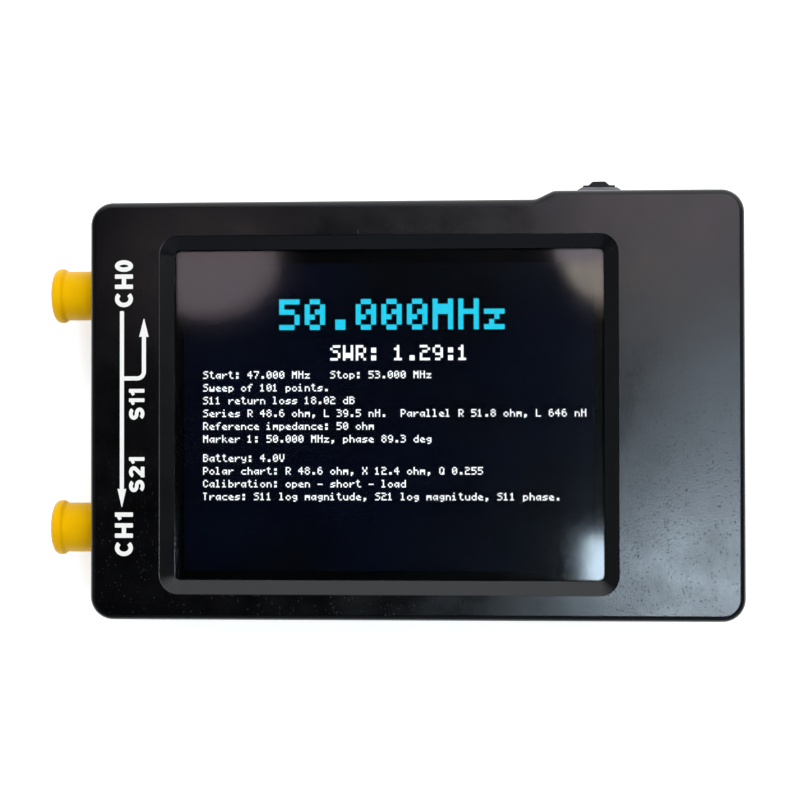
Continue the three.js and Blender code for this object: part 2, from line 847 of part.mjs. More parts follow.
function powerHousing() {
  const front = boardRight;
  const halfWidth = powerWidth / 2;
  const halfChannel = (sliderBaseWidth + powerTravel) / 2 + seatGap;
  const body = block(
    front - powerDepth,
    powerY - halfWidth,
    boardBottom - powerHeight,
    front,
    powerY + halfWidth,
    boardBottom,
  );
  const channel = block(
    front - powerSheet - channelDepth,
    powerY - halfChannel,
    powerMiddle - stemHeight / 2 - slideGap,
    front - powerSheet,
    powerY + halfChannel,
    powerMiddle + stemHeight / 2 + slideGap,
  );
  const halfSlot = (stemWidth + powerTravel) / 2 + seatGap;
  const slot = block(
    front - 2 * powerSheet,
    powerY - halfSlot,
    powerMiddle - stemHeight / 2 - slideGap,
    front + overrun,
    powerY + halfSlot,
    powerMiddle + stemHeight / 2 + slideGap,
  );
  return toGeometry(cut(body, channel, slot));
}

// Rest is the on position, at the top end of the travel
function powerSlider() {
  const y = powerY + powerTravel / 2;
  const back = boardRight - powerSheet - channelDepth + slideGap;
  const low = powerMiddle - stemHeight / 2;
  const high = powerMiddle + stemHeight / 2;
  const halfBase = sliderBaseWidth / 2;
  const base = block(back, y - halfBase, low, back + sliderBaseDepth, y + halfBase, high);
  const halfStem = stemWidth / 2;
  const stem = block(back, y - halfStem, low, halfLength + stemReach, y + halfStem, high);
  return toGeometry(base.add(stem));
}

const moduleCorners = rectangleCorners(
  moduleX - moduleLength / 2,
  moduleY - moduleWidth / 2,
  moduleX + moduleLength / 2,
  moduleY + moduleWidth / 2,
  moduleRadius,
  2,
);

// Backlight tray with a raised skirt that locates the glass
function backlightTray() {
  const rim = glassBottom + traySkirt;
  const outside = prism(roundedOutline(moduleCorners, 0), backlightBottom, rim);
  const inside = prism(roundedOutline(moduleCorners, trayWall), glassBottom, rim + overrun);
  const half = flexWidth / 2 + seatGap;
  const right = moduleX + moduleLength / 2;
  const flexGate = block(
    right - trayWall - overrun,
    moduleY - half,
    glassBottom,
    right + overrun,
    moduleY + half,
    rim + overrun,
  );
  return toGeometry(cut(outside, inside, flexGate));
}

function windowGasket() {
  const ring = prism(roundedOutline(moduleCorners, gasketInset), touchTop, frontInner);
  const hole = loft([
    windowRing(bevelWidth - gasketInset, touchTop - overrun),
    windowRing(bevelWidth - gasketInset, frontInner + overrun),
  ]);
  return toGeometry(ring.subtract(hole));
}

// Flat cable that leaves the glass at the right, bends round and lies back on the board
function screenFlex() {
  const start = moduleX + moduleLength / 2 - glassInset + seatGap;
  const upper = glassBottom + glassHeight / 2;
  const lower = boardTop + flexThickness / 2;
  const radius = (upper - lower) / 2;
  const turnX = moduleX + moduleLength / 2;
  const middle = [new THREE.Vector2(start, upper)];
  const steps = 8;
  for (let k = 0; k <= steps; k++) {
    const angle = Math.PI / 2 - (Math.PI * k) / steps;
    const height = lower + radius + radius * Math.sin(angle);
    middle.push(new THREE.Vector2(turnX + flexBulge * Math.cos(angle), height));
  }
  middle.push(new THREE.Vector2(turnX - flexTail, lower));
  const outer = [];
  const inner = [];
  middle.forEach((point, i) => {
    const before = middle[Math.max(i - 1, 0)];
    const after = middle[Math.min(i + 1, middle.length - 1)];
    const along = after.clone().sub(before).normalize();
    const side = leftOf(along).multiplyScalar(flexThickness / 2);
    outer.push(point.clone().add(side));
    inner.push(point.clone().sub(side));
  });
  const outline = [...inner, ...outer.toReversed()];
  return toGeometry(alongY(outline, moduleY - flexWidth / 2, moduleY + flexWidth / 2, 0, 0));
}

function foamStrip(x) {
  const half = moduleWidth / 2 - foamEndGap;
  const strip = block(x, moduleY - half, boardTop, x + foamWidth, moduleY + half, backlightBottom);
  return toGeometry(strip);
}

// A pressed can over one receiver, open towards the board
function shieldCan(x, y) {
  const half = canSide / 2;
  const low = boardBottom - canHeight;
  const can = roundedBlock(x - half, y - half, low, x + half, y + half, boardBottom, 2 * canSheet);
  const inside = half - canSheet;
  const room = block(
    x - inside,
    y - inside,
    low + canSheet,
    x + inside,
    y + inside,
    boardBottom + overrun,
  );
  return toGeometry(can.subtract(room));
}

// A moulded chip under the board, its lower edges drawn in
function chip(length, width, height) {
  const draft = height / 6;
  const ring = (grow) =>
    roundedOutline(rectangleCorners(-length / 2, -width / 2, length / 2, width / 2, 2 * draft, 1), grow);
  return toGeometry(
    loft([
      { outline: ring(draft), z: -height },
      { outline: ring(0), z: -height / 2 },
      { outline: ring(0), z: 0 },
    ]),
  );
}

function batteryHeader() {
  const half = headerWidth / 2;
  const body = block(
    headerX - half,
    headerY - headerDepth / 2,
    boardBottom - headerHeight,
    headerX + half,
    headerMouth,
    boardBottom,
  );
  const room = block(
    headerX - half + headerWall,
    headerY - headerDepth / 2 + headerWall,
    boardBottom - headerHeight + headerWall,
    headerX + half - headerWall,
    headerMouth + overrun,
    boardBottom - headerWall,
  );
  return toGeometry(body.subtract(room));
}

function batteryPlug() {
  const inset = headerWall + slideGap;
  const half = headerWidth / 2 - inset;
  const halfHeight = headerHeight / 2 - inset;
  const back = headerY - headerDepth / 2 + inset;
  const end = headerMouth + plugPastHeader;
  const body = block(
    headerX - half,
    back,
    headerMiddle - halfHeight,
    headerX + half,
    end,
    headerMiddle + halfHeight,
  );
  const latch = block(
    headerX - half / 2,
    end - plugPastHeader / 2,
    headerMiddle - halfHeight - slideGap,
    headerX + half / 2,
    end,
    headerMiddle,
  );
  return toGeometry(body.add(latch));
}

// One battery lead, from the battery's top edge round to the plug
function batteryLead(side) {
  const plugEnd = headerMouth + plugPastHeader + seatGap;
  const endX = headerX + (side * leadSpacing) / 2;
  const startX = batteryRight - 4 * leadSpacing - (side * leadSpacing) / 2;
  const startY = batteryTop + seatGap;
  const startZ = rearWall + tapeThickness + batteryHeight / 2;
  const crest = startY + leadRise + (side * leadSpacing) / 2 + leadRadius;
  const route = new THREE.CatmullRomCurve3(
    [
      new THREE.Vector3(startX, startY, startZ),
      new THREE.Vector3(startX, startY + leadRadius, startZ),
      new THREE.Vector3(startX + leadSpacing, crest - leadRadius / 2, startZ),
      new THREE.Vector3((startX + endX) / 2, crest, (startZ + headerMiddle) / 2),
      new THREE.Vector3(endX - leadSpacing, crest - leadRadius, headerMiddle),
      new THREE.Vector3(endX, crest - 2 * leadSpacing, headerMiddle),
      new THREE.Vector3(endX, plugEnd + leadSpacing, headerMiddle),
      new THREE.Vector3(endX, plugEnd, headerMiddle),
    ],
    false,
    "centripetal",
  );
  const section = new THREE.Shape();
  section.absarc(0, 0, leadRadius, 0, 2 * Math.PI, false);
  const tube = new THREE.ExtrudeGeometry(section, {
    curveSegments: 4,
    steps: 22,
    extrudePath: route,
    bevelEnabled: false,
  });
  return toGeometry(toSolid(tube));
}

// One named mesh with its own material
function piece(name, geometry, finish, x = 0, y = 0, z = 0) {
  const mesh = new THREE.Mesh(geometry, new THREE.MeshStandardMaterial(finishes[finish]));
  mesh.name = name;
  mesh.position.set(x, y, z);
  return mesh;
}

function group(...members) {
  const made = new THREE.Group();
  made.add(...members);
  return made;
}

const caseScrew = screw(screwRadius, screwHeadRadius, screwHeadHeight, screwReach);
const boardScrewLength = boardScrewReach + boardThickness;
const boardScrew = screw(boardScrewRadius, boardScrewHeadRadius, boardScrewHeadHeight, boardScrewLength);

const housing = group(
  piece("front_shell", frontShell(), "blackPlastic"),
  piece("rear_shell", rearShell(), "blackPlastic"),
  ...bossPlaces.map(([x, y], i) =>
    piece(`case_screw_${i + 1}`, caseScrew.clone(), "darkScrew", x, y, counterboreDepth),
  ),
);

const glassLeft = moduleX - moduleLength / 2 + glassInset;
const glassRight = moduleX + moduleLength / 2 - glassInset;
const glassReach = moduleWidth / 2 - glassInset;
const screen = group(
  piece(
    "screen_glass",
    toGeometry(
      block(glassLeft, moduleY - glassReach, glassBottom, glassRight, moduleY + glassReach, touchBottom),
    ),
    "screenGlass",
  ),
  piece(
    "touch_panel",
    toGeometry(prism(roundedOutline(moduleCorners, 0), touchBottom, touchTop)),
    "touchFilm",
  ),
  piece("backlight_tray", backlightTray(), "whiteTray"),
  piece("window_gasket", windowGasket(), "foam"),
  piece("screen_flex", screenFlex(), "amberFilm"),
  piece("foam_strip_left", foamStrip(moduleX - moduleLength / 2 + foamWidth), "foam"),
  piece("foam_strip_right", foamStrip(moduleX + moduleLength / 2 - flexTail - 2 * foamWidth), "foam"),
);

const canX = boardLeft + canInset + canSide / 2;
const canPlaces = [canSide + canGap, 0, -canSide - canGap];
const boardHalfLength = (boardRight - boardLeft) / 2;
const boardMiddle = (boardRight + boardLeft) / 2;
const boardHalfDepth = innerDepth / 2 - boardGap;

// A part under the board, placed by shares of the board's half length and half depth
function underBoard(name, [lengthShare, depthShare], finish, length, width, height) {
  const x = boardMiddle + lengthShare * boardHalfLength;
  return piece(name, chip(length, width, height), finish, x, depthShare * boardHalfDepth, boardBottom);
}

function boardScrewPiece([x, y], i) {
  const mesh = piece(`board_screw_${i + 1}`, boardScrew.clone(), "steel", x, y, boardTop);
  mesh.rotation.x = Math.PI;
  return mesh;
}

const mixer = chip(mixerLength, mixerWidth, mixerHeight);
const electronics = group(
  piece("main_board", mainBoard(), "boardMask"),
  ...standoffPlaces.map(boardScrewPiece),
  ...canPlaces.map((y, i) => piece(`shield_can_${i + 1}`, shieldCan(canX, y), "steel")),
  ...canPlaces.map((y, i) =>
    piece(`mixer_chip_${i + 1}`, mixer.clone(), "chip", canX, y, boardBottom),
  ),
  underBoard("processor_chip", processorShares, "chip", processorSide, processorSide, processorHeight),
  underBoard("codec_chip", codecShares, "chip", codecSide, codecSide, codecHeight),
  underBoard("clock_chip", clockShares, "chip", clockSide, clockSide, clockHeight),
  underBoard("crystal", crystalShares, "steel", crystalLength, crystalWidth, crystalHeight),
  underBoard(
    "reference_oscillator",
    oscillatorShares,
    "steel",
    oscillatorLength,
    oscillatorWidth,
    oscillatorHeight,
  ),
  underBoard("charger_chip", chargerShares, "chip", chargerSide, chargerSide, chargerHeight),
  underBoard("regulator_chip", regulatorShares, "chip", regulatorLength, regulatorWidth, regulatorHeight),
  underBoard("power_lamp", powerLedShares, "lampLens", ledLength, ledWidth, ledHeight),
  underBoard("charge_lamp", chargeLedShares, "lampLens", ledLength, ledWidth, ledHeight),
);

const tapeReach = batteryLength / 2 - tapeInset;
const batteryMiddle = (batteryLeft + batteryRight) / 2;
const power = group(
  piece(
    "battery",
    toGeometry(
      roundedBlock(
        batteryLeft,
        batteryBottom,
        rearWall + tapeThickness,
        batteryRight,
        batteryTop,
        rearWall + tapeThickness + batteryHeight,
        batteryRadius,
      ),
    ),
    "batteryFoil",
  ),
  piece(
    "battery_tape",
    toGeometry(
      block(
        batteryMiddle - tapeReach,
        batteryBottom + tapeInset,
        rearWall,
        batteryMiddle + tapeReach,
        batteryTop - tapeInset,
        rearWall + tapeThickness,
      ),
    ),
    "foam",
  ),
  piece("battery_header", batteryHeader(), "insulator"),
  piece("battery_plug", batteryPlug(), "insulator"),
  piece("battery_lead_red", batteryLead(1), "redLead"),
  piece("battery_lead_black", batteryLead(-1), "blackLead"),
);

const controls = group(
  piece("usb_shell", usbShell(), "steel"),
  piece("usb_insert", usbInsert(), "softBlack"),
  piece("jog_housing", jogHousing(), "steel"),
  piece("jog_carrier", jogCarrier(), "softBlack"),
  piece("jog_lever", jogLever(), "softBlack"),
  piece("power_housing", powerHousing(), "steel"),
  piece("power_slider", powerSlider(), "softBlack"),
);

// Each jack is built about its own axis and turned to face the left
function jack(y, i) {
  const made = group(
    piece(`jack_body_${i}`, jackBody(), "gold"),
    piece(`jack_insulator_${i}`, jackInsulator(), "insulator"),
    piece(`jack_contact_${i}`, jackContact(), "gold"),
    piece(`dust_cap_${i}`, dustCap(), "yellowCap"),
  );
  made.position.set(innerLeft + seatGap, y, jackHeight);
  made.rotation.y = -Math.PI / 2;
  return made;
}

const analyzer = group(housing, screen, electronics, power, controls, ...jackPlaces.map(jack));

export default analyzer;
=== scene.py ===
# The looks of a pocket antenna analyzer: black spark-textured case, bevelled window over a lit screen,
# yellow dust caps on two coaxial jacks, jog lever, USB socket and power knob. Sizes are in millimetres.
import math

import bmesh
import bpy
from mathutils import Matrix, Vector


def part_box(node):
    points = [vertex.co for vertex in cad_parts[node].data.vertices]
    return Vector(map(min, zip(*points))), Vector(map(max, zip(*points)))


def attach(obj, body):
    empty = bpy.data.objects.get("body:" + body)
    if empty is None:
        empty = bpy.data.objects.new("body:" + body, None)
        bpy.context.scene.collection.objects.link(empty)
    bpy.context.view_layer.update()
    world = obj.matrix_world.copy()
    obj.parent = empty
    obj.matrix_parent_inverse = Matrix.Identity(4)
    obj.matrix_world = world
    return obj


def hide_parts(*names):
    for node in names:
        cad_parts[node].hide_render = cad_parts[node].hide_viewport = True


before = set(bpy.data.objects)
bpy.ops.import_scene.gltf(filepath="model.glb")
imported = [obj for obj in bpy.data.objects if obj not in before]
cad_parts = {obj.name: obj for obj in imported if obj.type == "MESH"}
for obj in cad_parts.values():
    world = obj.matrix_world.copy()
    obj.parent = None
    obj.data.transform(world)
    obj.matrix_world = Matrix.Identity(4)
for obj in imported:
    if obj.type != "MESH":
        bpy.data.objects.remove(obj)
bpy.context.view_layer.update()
mm = 0.001
bpy.context.scene.view_settings.view_transform = "Standard"


def nodeBox(name):
    low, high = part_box(name)
    return low / mm, high / mm


frontLow, frontHigh = nodeBox("front_shell")
panelLow, panelHigh = nodeBox("touch_panel")
capLow, capHigh = nodeBox("dust_cap_0")
jackLow = nodeBox("jack_body_0")[0]
leverLow, leverHigh = nodeBox("jog_lever")
jogLow, jogHigh = nodeBox("jog_housing")
usbLow, usbHigh = nodeBox("usb_shell")
knobLow, knobHigh = nodeBox("power_slider")
powerLow, powerHigh = nodeBox("power_housing")
screwLow, screwHigh = nodeBox("case_screw_3")
boardLow, boardHigh = nodeBox("main_board")
boardScrewLow, boardScrewHigh = nodeBox("board_screw_3")
batteryLow, batteryHigh = nodeBox("battery")

parting = frontLow.z
caseTop = frontHigh.z
halfLength = frontHigh.x
outerTop = frontHigh.y
halfDepth = -frontLow.y
jackY = (capLow.y + capHigh.y) / 2
jackZ = (capLow.z + capHigh.z) / 2
jogX = (jogLow.x + jogHigh.x) / 2
usbX = (usbLow.x + usbHigh.x) / 2
usbZ = (usbLow.z + usbHigh.z) / 2
bossX = (screwLow.x + screwHigh.x) / 2
bossY = (screwLow.y + screwHigh.y) / 2
standoffX = (boardScrewLow.x + boardScrewHigh.x) / 2
standoffY = (boardScrewLow.y + boardScrewHigh.y) / 2
overrun = 1.0  # how far a cutter runs past what it cuts
hair = 0.01  # keeps the two arcs of a round end from meeting in one point
mergeWithin = 0.0005  # points that a cut leaves closer together than this become one
leastEdge = 0.0002  # shorter edges go
flareSteps = 5


# Colours are written as they look on a screen and turned to linear light here
def linear(hexColour):
    shares = [int(hexColour[i : i + 2], 16) / 255 for i in (1, 3, 5)]
    light = [c / 12.92 if c <= 0.04045 else ((c + 0.055) / 1.055) ** 2.4 for c in shares]
    return (*light, 1.0)


# Shapes

# A path or outline whose corners are (x, y, radius), drawn in by inset, with arcs of the given steps.
# It runs anticlockwise; a radius of nought stays a sharp corner where nothing is drawn in.
def rounded(corners, inset=0.0, closed=True, steps=8, least=0.05):
    path = []
    count = len(corners)
    for i, (x, y, radius) in enumerate(corners):
        corner = Vector((x, y))
        if not closed and i in (0, count - 1):
            path.append(corner)
            continue
        comes = (corner - Vector(corners[i - 1][:2])).normalized()
        goes = (Vector(corners[(i + 1) % count][:2]) - corner).normalized()
        turn = math.atan2(comes.x * goes.y - comes.y * goes.x, comes.dot(goes))
        size = max(radius - inset, least) if turn > 0 else radius + inset
        shift = Vector((-comes.y - goes.y, comes.x + goes.x)) * inset / (1 + comes.dot(goes))
        if radius == 0 and inset == 0:
            path.append(corner)
            continue
        start = corner + shift - comes * size * math.tan(abs(turn) / 2)
        centre = start + Vector((-comes.y, comes.x)) * math.copysign(size, turn)
        for k in range(steps + 1):
            path.append(centre + Matrix.Rotation(turn * k / steps, 2) @ (start - centre))
    return path


def box(x0, y0, x1, y1, radius):
    return [(x0, y0, radius), (x1, y0, radius), (x1, y1, radius), (x0, y1, radius)]


# Turns and shifts a piece's mesh by a matrix in millimetres
def moved(piece, place):
    piece.data.transform(Matrix.Scale(mm, 4) @ place @ Matrix.Scale(1 / mm, 4))
    return piece


def newPiece(name, points, faces, place=None):
    mesh = bpy.data.meshes.new(name)
    mesh.from_pydata([Vector(p) * mm for p in points], [], faces)
    piece = bpy.data.objects.new(name, mesh)
    bpy.context.scene.collection.objects.link(piece)
    return moved(piece, place) if place else piece


# A closed solid through rings of equal point count: each is an outline and a height
def loft(name, rings, place=None):
    count = len(rings[0][0])
    points = [(p.x, p.y, z) for outline, z in rings for p in outline]
    faces = [tuple(reversed(range(count)))]
    for r in range(len(rings) - 1):
        for i in range(count):
            a, b = r * count + i, r * count + (i + 1) % count
            faces.append((a, b, b + count, a + count))
    last = (len(rings) - 1) * count
    faces.append(tuple(range(last, last + count)))
    return newPiece(name, points, faces, place)


# A profile of radius and height turned about Z, from axis to axis, anticlockwise seen with Z up
def turned(name, profile, sides, place=None):
    points, rings, faces = [], [], []
    for radius, height in profile:
        count = 1 if radius < 1e-6 else sides
        rings.append(list(range(len(points), len(points) + count)))
        for k in range(count):
            angle = 2 * math.pi * k / sides
            points.append((radius * math.cos(angle), radius * math.sin(angle), height))
    for low, high in zip(rings, rings[1:]):
        for k in range(sides):
            n = (k + 1) % sides
            if len(low) == 1 and len(high) == 1:
                continue
            if len(low) == 1:
                faces.append((low[0], high[n], high[k]))
            elif len(high) == 1:
                faces.append((low[k], low[n], high[0]))
            else:
                faces.append((low[k], low[n], high[n], high[k]))
    return newPiece(name, points, faces, place)


# Modifiers become the mesh itself
def settle(piece):
    graph = bpy.context.evaluated_depsgraph_get()
    made = bpy.data.meshes.new_from_object(piece.evaluated_get(graph))
    piece.modifiers.clear()
    piece.data = made
    made.name = piece.name
    return piece


def carve(piece, cutters, operation="DIFFERENCE"):
    batch = bpy.data.collections.new("batch")
    for cutter in cutters:
        batch.objects.link(cutter)
    step = piece.modifiers.new("carve", "BOOLEAN")
    step.operation = operation
    step.solver = "EXACT"
    step.operand_type = "COLLECTION"
    step.collection = batch
    settle(piece)
    for cutter in cutters:
        bpy.data.objects.remove(cutter)
    bpy.data.collections.remove(batch)
    work = bmesh.new()
    work.from_mesh(piece.data)
    bmesh.ops.remove_doubles(work, verts=work.verts, dist=mergeWithin * mm)
    bmesh.ops.dissolve_degenerate(work, edges=work.edges, dist=leastEdge * mm)
    work.to_mesh(piece.data)
    work.free()
    return piece


def joined(name, pieces):
    work = bmesh.new()
    for piece in pieces:
        work.from_mesh(piece.data)
        bpy.data.objects.remove(piece)
    mesh = bpy.data.meshes.new(name)
    work.to_mesh(mesh)
    work.free()
    made = bpy.data.objects.new(name, mesh)
    bpy.context.scene.collection.objects.link(made)
    return made


# Smooth faces with crisp edges, its finish, and what it stands for
def dress(piece, finish, body, nodes=(), sharpAngle=32, weigh=True):
    piece.data.shade_smooth()
    piece.data.set_sharp_from_angle(angle=math.radians(sharpAngle))
    if weigh:
        step = piece.modifiers.new("weigh", "WEIGHTED_NORMAL")
        step.keep_sharp = True
        settle(piece)
    piece.data.materials.clear()
    piece.data.materials.append(finish)
    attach(piece, body)
    if nodes:
        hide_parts(*nodes)
    print("made", piece.name, len(piece.data.polygons), "faces")
    return piece


# Nodes

# Sets a node's inputs, each to a value or to another node's output. An input or an output that has no
# name of its own goes by its number: a mix of two colours takes them at 6 and 7 and gives its own at 2.
def fill(tree, node, feeds):
    for name, value in feeds.items():
        if isinstance(value, bpy.types.NodeSocket):
            tree.links.new(value, node.inputs[name])
        else:
            node.inputs[name].default_value = value


# Adds a node with its settings and links, and gives its outputs
def put(tree, kind, feeds=None, **settings):
    made = tree.nodes.new(kind)
    for name, value in settings.items():
        setattr(made, name, value)
    fill(tree, made, feeds or {})
    return made.outputs


# A geometry tree with named inputs, given as name and kind; grow draws what the tree makes
def growTree(name, grow, inputs):
    tree = bpy.data.node_groups.new(name, "GeometryNodeTree")
    tree.interface.new_socket("Geometry", in_out="OUTPUT", socket_type="NodeSocketGeometry")
    for label, kind in {"Geometry": "Geometry", **inputs, "Finish": "Material"}.items():
        tree.interface.new_socket(label, in_out="INPUT", socket_type="NodeSocket" + kind)
    given = put(tree, "NodeGroupInput")
    real = put(tree, "GeometryNodeRealizeInstances", {"Geometry": grow(tree, given)})[0]
    coated = put(tree, "GeometryNodeSetMaterial", {"Geometry": real, "Material": given["Finish"]})[0]
    put(tree, "NodeGroupOutput", {"Geometry": coated})
    return tree


# Runs a tree on a piece, inputs by name, and keeps the result as a plain mesh
def growOn(piece, tree, **inputs):
    step = piece.modifiers.new(tree.name, "NODES")
    step.node_group = tree
    for item in tree.interface.items_tree:
        label = item.name.replace(" ", "")
        label = label[0].lower() + label[1:]
        if item.in_out == "INPUT" and label in inputs:
            step[item.identifier] = inputs[label]
    return settle(piece)


# Finishes

cloudSpan = {"From Min": 0.3, "From Max": 0.7}  # what a noise mostly lies between


# A finish to build on, with its tree, its shader and the object's own coordinates. They are in metres, so
# a pattern of a given size in millimetres has the scale 1 / (size * mm).
def startFinish(name, colour, roughness):
    made = bpy.data.materials.new(name)
    made.use_nodes = True
    made.diffuse_color = linear(colour)
    tree = made.node_tree
    shader = tree.nodes["Principled BSDF"]
    fill(tree, shader, {"Base Color": linear(colour), "Roughness": roughness})
    return made, tree, shader, put(tree, "ShaderNodeTexCoord")["Object"]


# A cloud of noise of a given size, and the colour that it mottles between two
def mottle(tree, place, size, detail, first, second):
    feeds = {"Vector": place, "Scale": 1 / (size * mm), "Detail": detail}
    cloud = put(tree, "ShaderNodeTexNoise", feeds)[0]
    return cloud, put(tree, "ShaderNodeMix", {"Factor": cloud, 6: first, 7: second}, data_type="RGBA")[2]


# A moulded or plain surface: mottled colour, uneven roughness and a fine relief
def plainFinish(name, look):
    made, tree, shader, place = startFinish(name, look["colour"], look["roughness"])
    ends = linear(look["colour"]), linear(look["second"])
    patches, colour = mottle(tree, place, look["mottle"], 3.0, *ends)
    middle, uneven = look["roughness"], look["uneven"]
    feeds = {"Value": patches, "To Min": middle - uneven, "To Max": middle + uneven}
    rough = put(tree, "ShaderNodeMapRange", feeds)[0]
    feeds = {"Vector": place, "Scale": 1 / (look["grain"] * mm), "Detail": 2.0}
    grain = put(tree, "ShaderNodeTexNoise", feeds)[0]
    feeds = {"Height": grain, "Distance": look["depth"] * mm, "Strength": 1.0}
    bump = put(tree, "ShaderNodeBump", feeds)[0]
    fill(tree, shader, {"Base Color": colour, "Roughness": rough, "Normal": bump})
    fill(tree, shader, {"Metallic": look.get("metallic", 0.0), **look.get("extra", {})})
    return made


# ABS from a spark-eroded mould: deep black, with a fine tooth that a lamp turns grey. The front face also
# has the small dents of handling. Both grow shallower towards the top. The tooth is about 0.05 mm; it is
# drawn at 0.25 mm, the least that shows.
caseFinishLook = {
    "colour": "#020203",
    "worn": "#050506",
    "dust": "#3a3c3e",
    "toothSize": 0.25,
    "toothDepth": 0.0088,
    "pitSpacing": 0.5,
    "pitShare": 0.21,
    "pitDepth": 0.014,
    "pitBand": 0.3,  # dents end this far below the front face
    "pitRare": 0.25,  # share of places without a dent
    "fadeFrom": -18.0,  # where the relief is at its deepest, and where it is at its least
    "fadeTo": 12.0,
    "fadeLeast": 0.45,
    "roughness": 0.19,
    "uneven": 0.045,
    "cloud": 5.5,
    "dustSpacing": 1.3,
    "dustShare": 0.08,
    "dustRare": 0.86,
    "ior": 1.53,
}


# Small round spots scattered over a surface, as a value from 0 to 1, full to half of their radius. Share
# is that radius by their spacing, and rare is the share of places left out.
def spots(tree, place, spacing, share, rare):
    feeds = {"Vector": place, "Scale": 1 / (spacing * mm), "Randomness": 1.0}
    cells = put(tree, "ShaderNodeTexVoronoi", feeds)
    feeds = {"Value": cells["Distance"], "From Min": share / 2, "From Max": share}
    spot = put(tree, "ShaderNodeMapRange", {**feeds, "To Min": 1.0, "To Max": 0.0})[0]
    drawn = put(tree, "ShaderNodeSeparateColor", {"Color": cells["Color"]})[0]
    feeds = {"Value": drawn, "From Min": rare, "From Max": rare + 0.1}  # a few are faint
    chosen = put(tree, "ShaderNodeMapRange", feeds)[0]
    return put(tree, "ShaderNodeMath", {0: spot, 1: chosen}, operation="MULTIPLY")[0]


def caseFinish(look):
    made, tree, shader, place = startFinish("sparkTexturedAbs", look["colour"], look["roughness"])
    ends = linear(look["colour"]), linear(look["worn"])
    patches, body = mottle(tree, place, look["cloud"], 5.0, *ends)
    dusty = spots(tree, place, look["dustSpacing"], look["dustShare"], look["dustRare"])
    feeds = {"Factor": dusty, 6: body, 7: linear(look["dust"])}
    colour = put(tree, "ShaderNodeMix", feeds, data_type="RGBA")[2]
    middle, uneven = look["roughness"], look["uneven"]
    feeds = {**cloudSpan, "Value": patches, "To Min": middle - uneven, "To Max": middle + uneven}
    rough = put(tree, "ShaderNodeMapRange", feeds)[0]
    feeds = {"Vector": place, "Scale": 1 / (look["toothSize"] * mm), "Detail": 3.0}
    tooth = put(tree, "ShaderNodeTexNoise", feeds)[0]
    tooth = put(tree, "ShaderNodeMath", {0: tooth, 1: look["toothDepth"] * mm}, operation="MULTIPLY")[0]
    pits = spots(tree, place, look["pitSpacing"], look["pitShare"], look["pitRare"])
    where = put(tree, "ShaderNodeSeparateXYZ", {"Vector": place})
    feeds = {
        "Value": where["Z"],
        "From Min": (caseTop - look["pitBand"]) * mm,
        "From Max": caseTop * mm,
        "To Min": 0.0,
        "To Max": -look["pitDepth"] * mm,
    }
    onFace = put(tree, "ShaderNodeMapRange", feeds)[0]
    dents = put(tree, "ShaderNodeMath", {0: pits, 1: onFace}, operation="MULTIPLY")[0]
    height = put(tree, "ShaderNodeMath", {0: tooth, 1: dents}, operation="ADD")[0]
    feeds = {
        "Value": where["Y"],
        "From Min": look["fadeFrom"] * mm,
        "From Max": look["fadeTo"] * mm,
        "To Min": 1.0,
        "To Max": look["fadeLeast"],
    }
    fade = put(tree, "ShaderNodeMapRange", feeds)[0]
    height = put(tree, "ShaderNodeMath", {0: height, 1: fade}, operation="MULTIPLY")[0]
    bump = put(tree, "ShaderNodeBump", {"Height": height, "Distance": 1.0, "Strength": 1.0})[0]
    fill(tree, shader, {"Base Color": colour, "Roughness": rough, "Normal": bump, "IOR": look["ior"]})
    return made


caseAbs = caseFinish(caseFinishLook)

# Glass-filled nylon: dense black, slightly glossy on edges, as moulded levers and knobs are
controlNylon = plainFinish("mouldedNylon", {
    "colour": "#060606", "second": "#0c0c0d", "roughness": 0.34, "uneven": 0.06,
    "mottle": 2.5, "grain": 0.18, "depth": 0.006,
    "extra": {"Specular IOR Level": 0.3},
})

# Soft vinyl dipped over a mandrel: a saturated yellow that glows where light enters it, with a satin skin
capVinyl = plainFinish("dippedVinyl", {
    "colour": "#f8be00", "second": "#f0b000", "roughness": 0.45, "uneven": 0.05,
    "mottle": 2.2, "grain": 0.35, "depth": 0.006,
    "extra": {
        "Subsurface Weight": 0.12, "Subsurface Scale": 0.001, "Subsurface Radius": (1.0, 0.55, 0.02),
        "Specular IOR Level": 0.5, "Specular Tint": (1.0, 0.95, 0.05, 1.0),
    },
})

# Brass turned on a lathe, then gold plated: warm and bright with fine rings round its axis
goldPlate = plainFinish("goldPlatedBrass", {
    "colour": "#e0b457", "second": "#d2a348", "roughness": 0.24, "uneven": 0.06, "metallic": 1.0,
    "mottle": 1.6, "grain": 0.12, "depth": 0.003,
})

# Nickel-plated sheet steel, bent and stamped: cool grey, faintly grained by rolling
nickelSheet = plainFinish("nickelPlatedSheet", {
    "colour": "#bfc1c4", "second": "#a8abaf", "roughness": 0.3, "uneven": 0.08, "metallic": 1.0,
    "mottle": 1.8, "grain": 0.1, "depth": 0.002,
})

# The lever switch's sheet, dulled by handling: a darker, rougher grey
dullSheet = plainFinish("dulledSheet", {
    "colour": "#9a9c9e", "second": "#828486", "roughness": 0.5, "uneven": 0.08, "metallic": 1.0,
    "mottle": 1.2, "grain": 0.12, "depth": 0.003,
})

# Black zinc on steel screws: dark, slightly blue, brighter where the driver has rubbed
blackZinc = plainFinish("blackZincSteel", {
    "colour": "#2b2c30", "second": "#4a4b50", "roughness": 0.34, "uneven": 0.1, "metallic": 1.0,
    "mottle": 0.7, "grain": 0.09, "depth": 0.003,
})

# Screen-printed epoxy ink: flat off-white with a slightly uneven film
printInk = plainFinish("screenPrintInk", {
    "colour": "#f2f2ee", "second": "#e6e6e1", "roughness": 0.5, "uneven": 0.08,
    "mottle": 0.8, "grain": 0.15, "depth": 0.004,
})

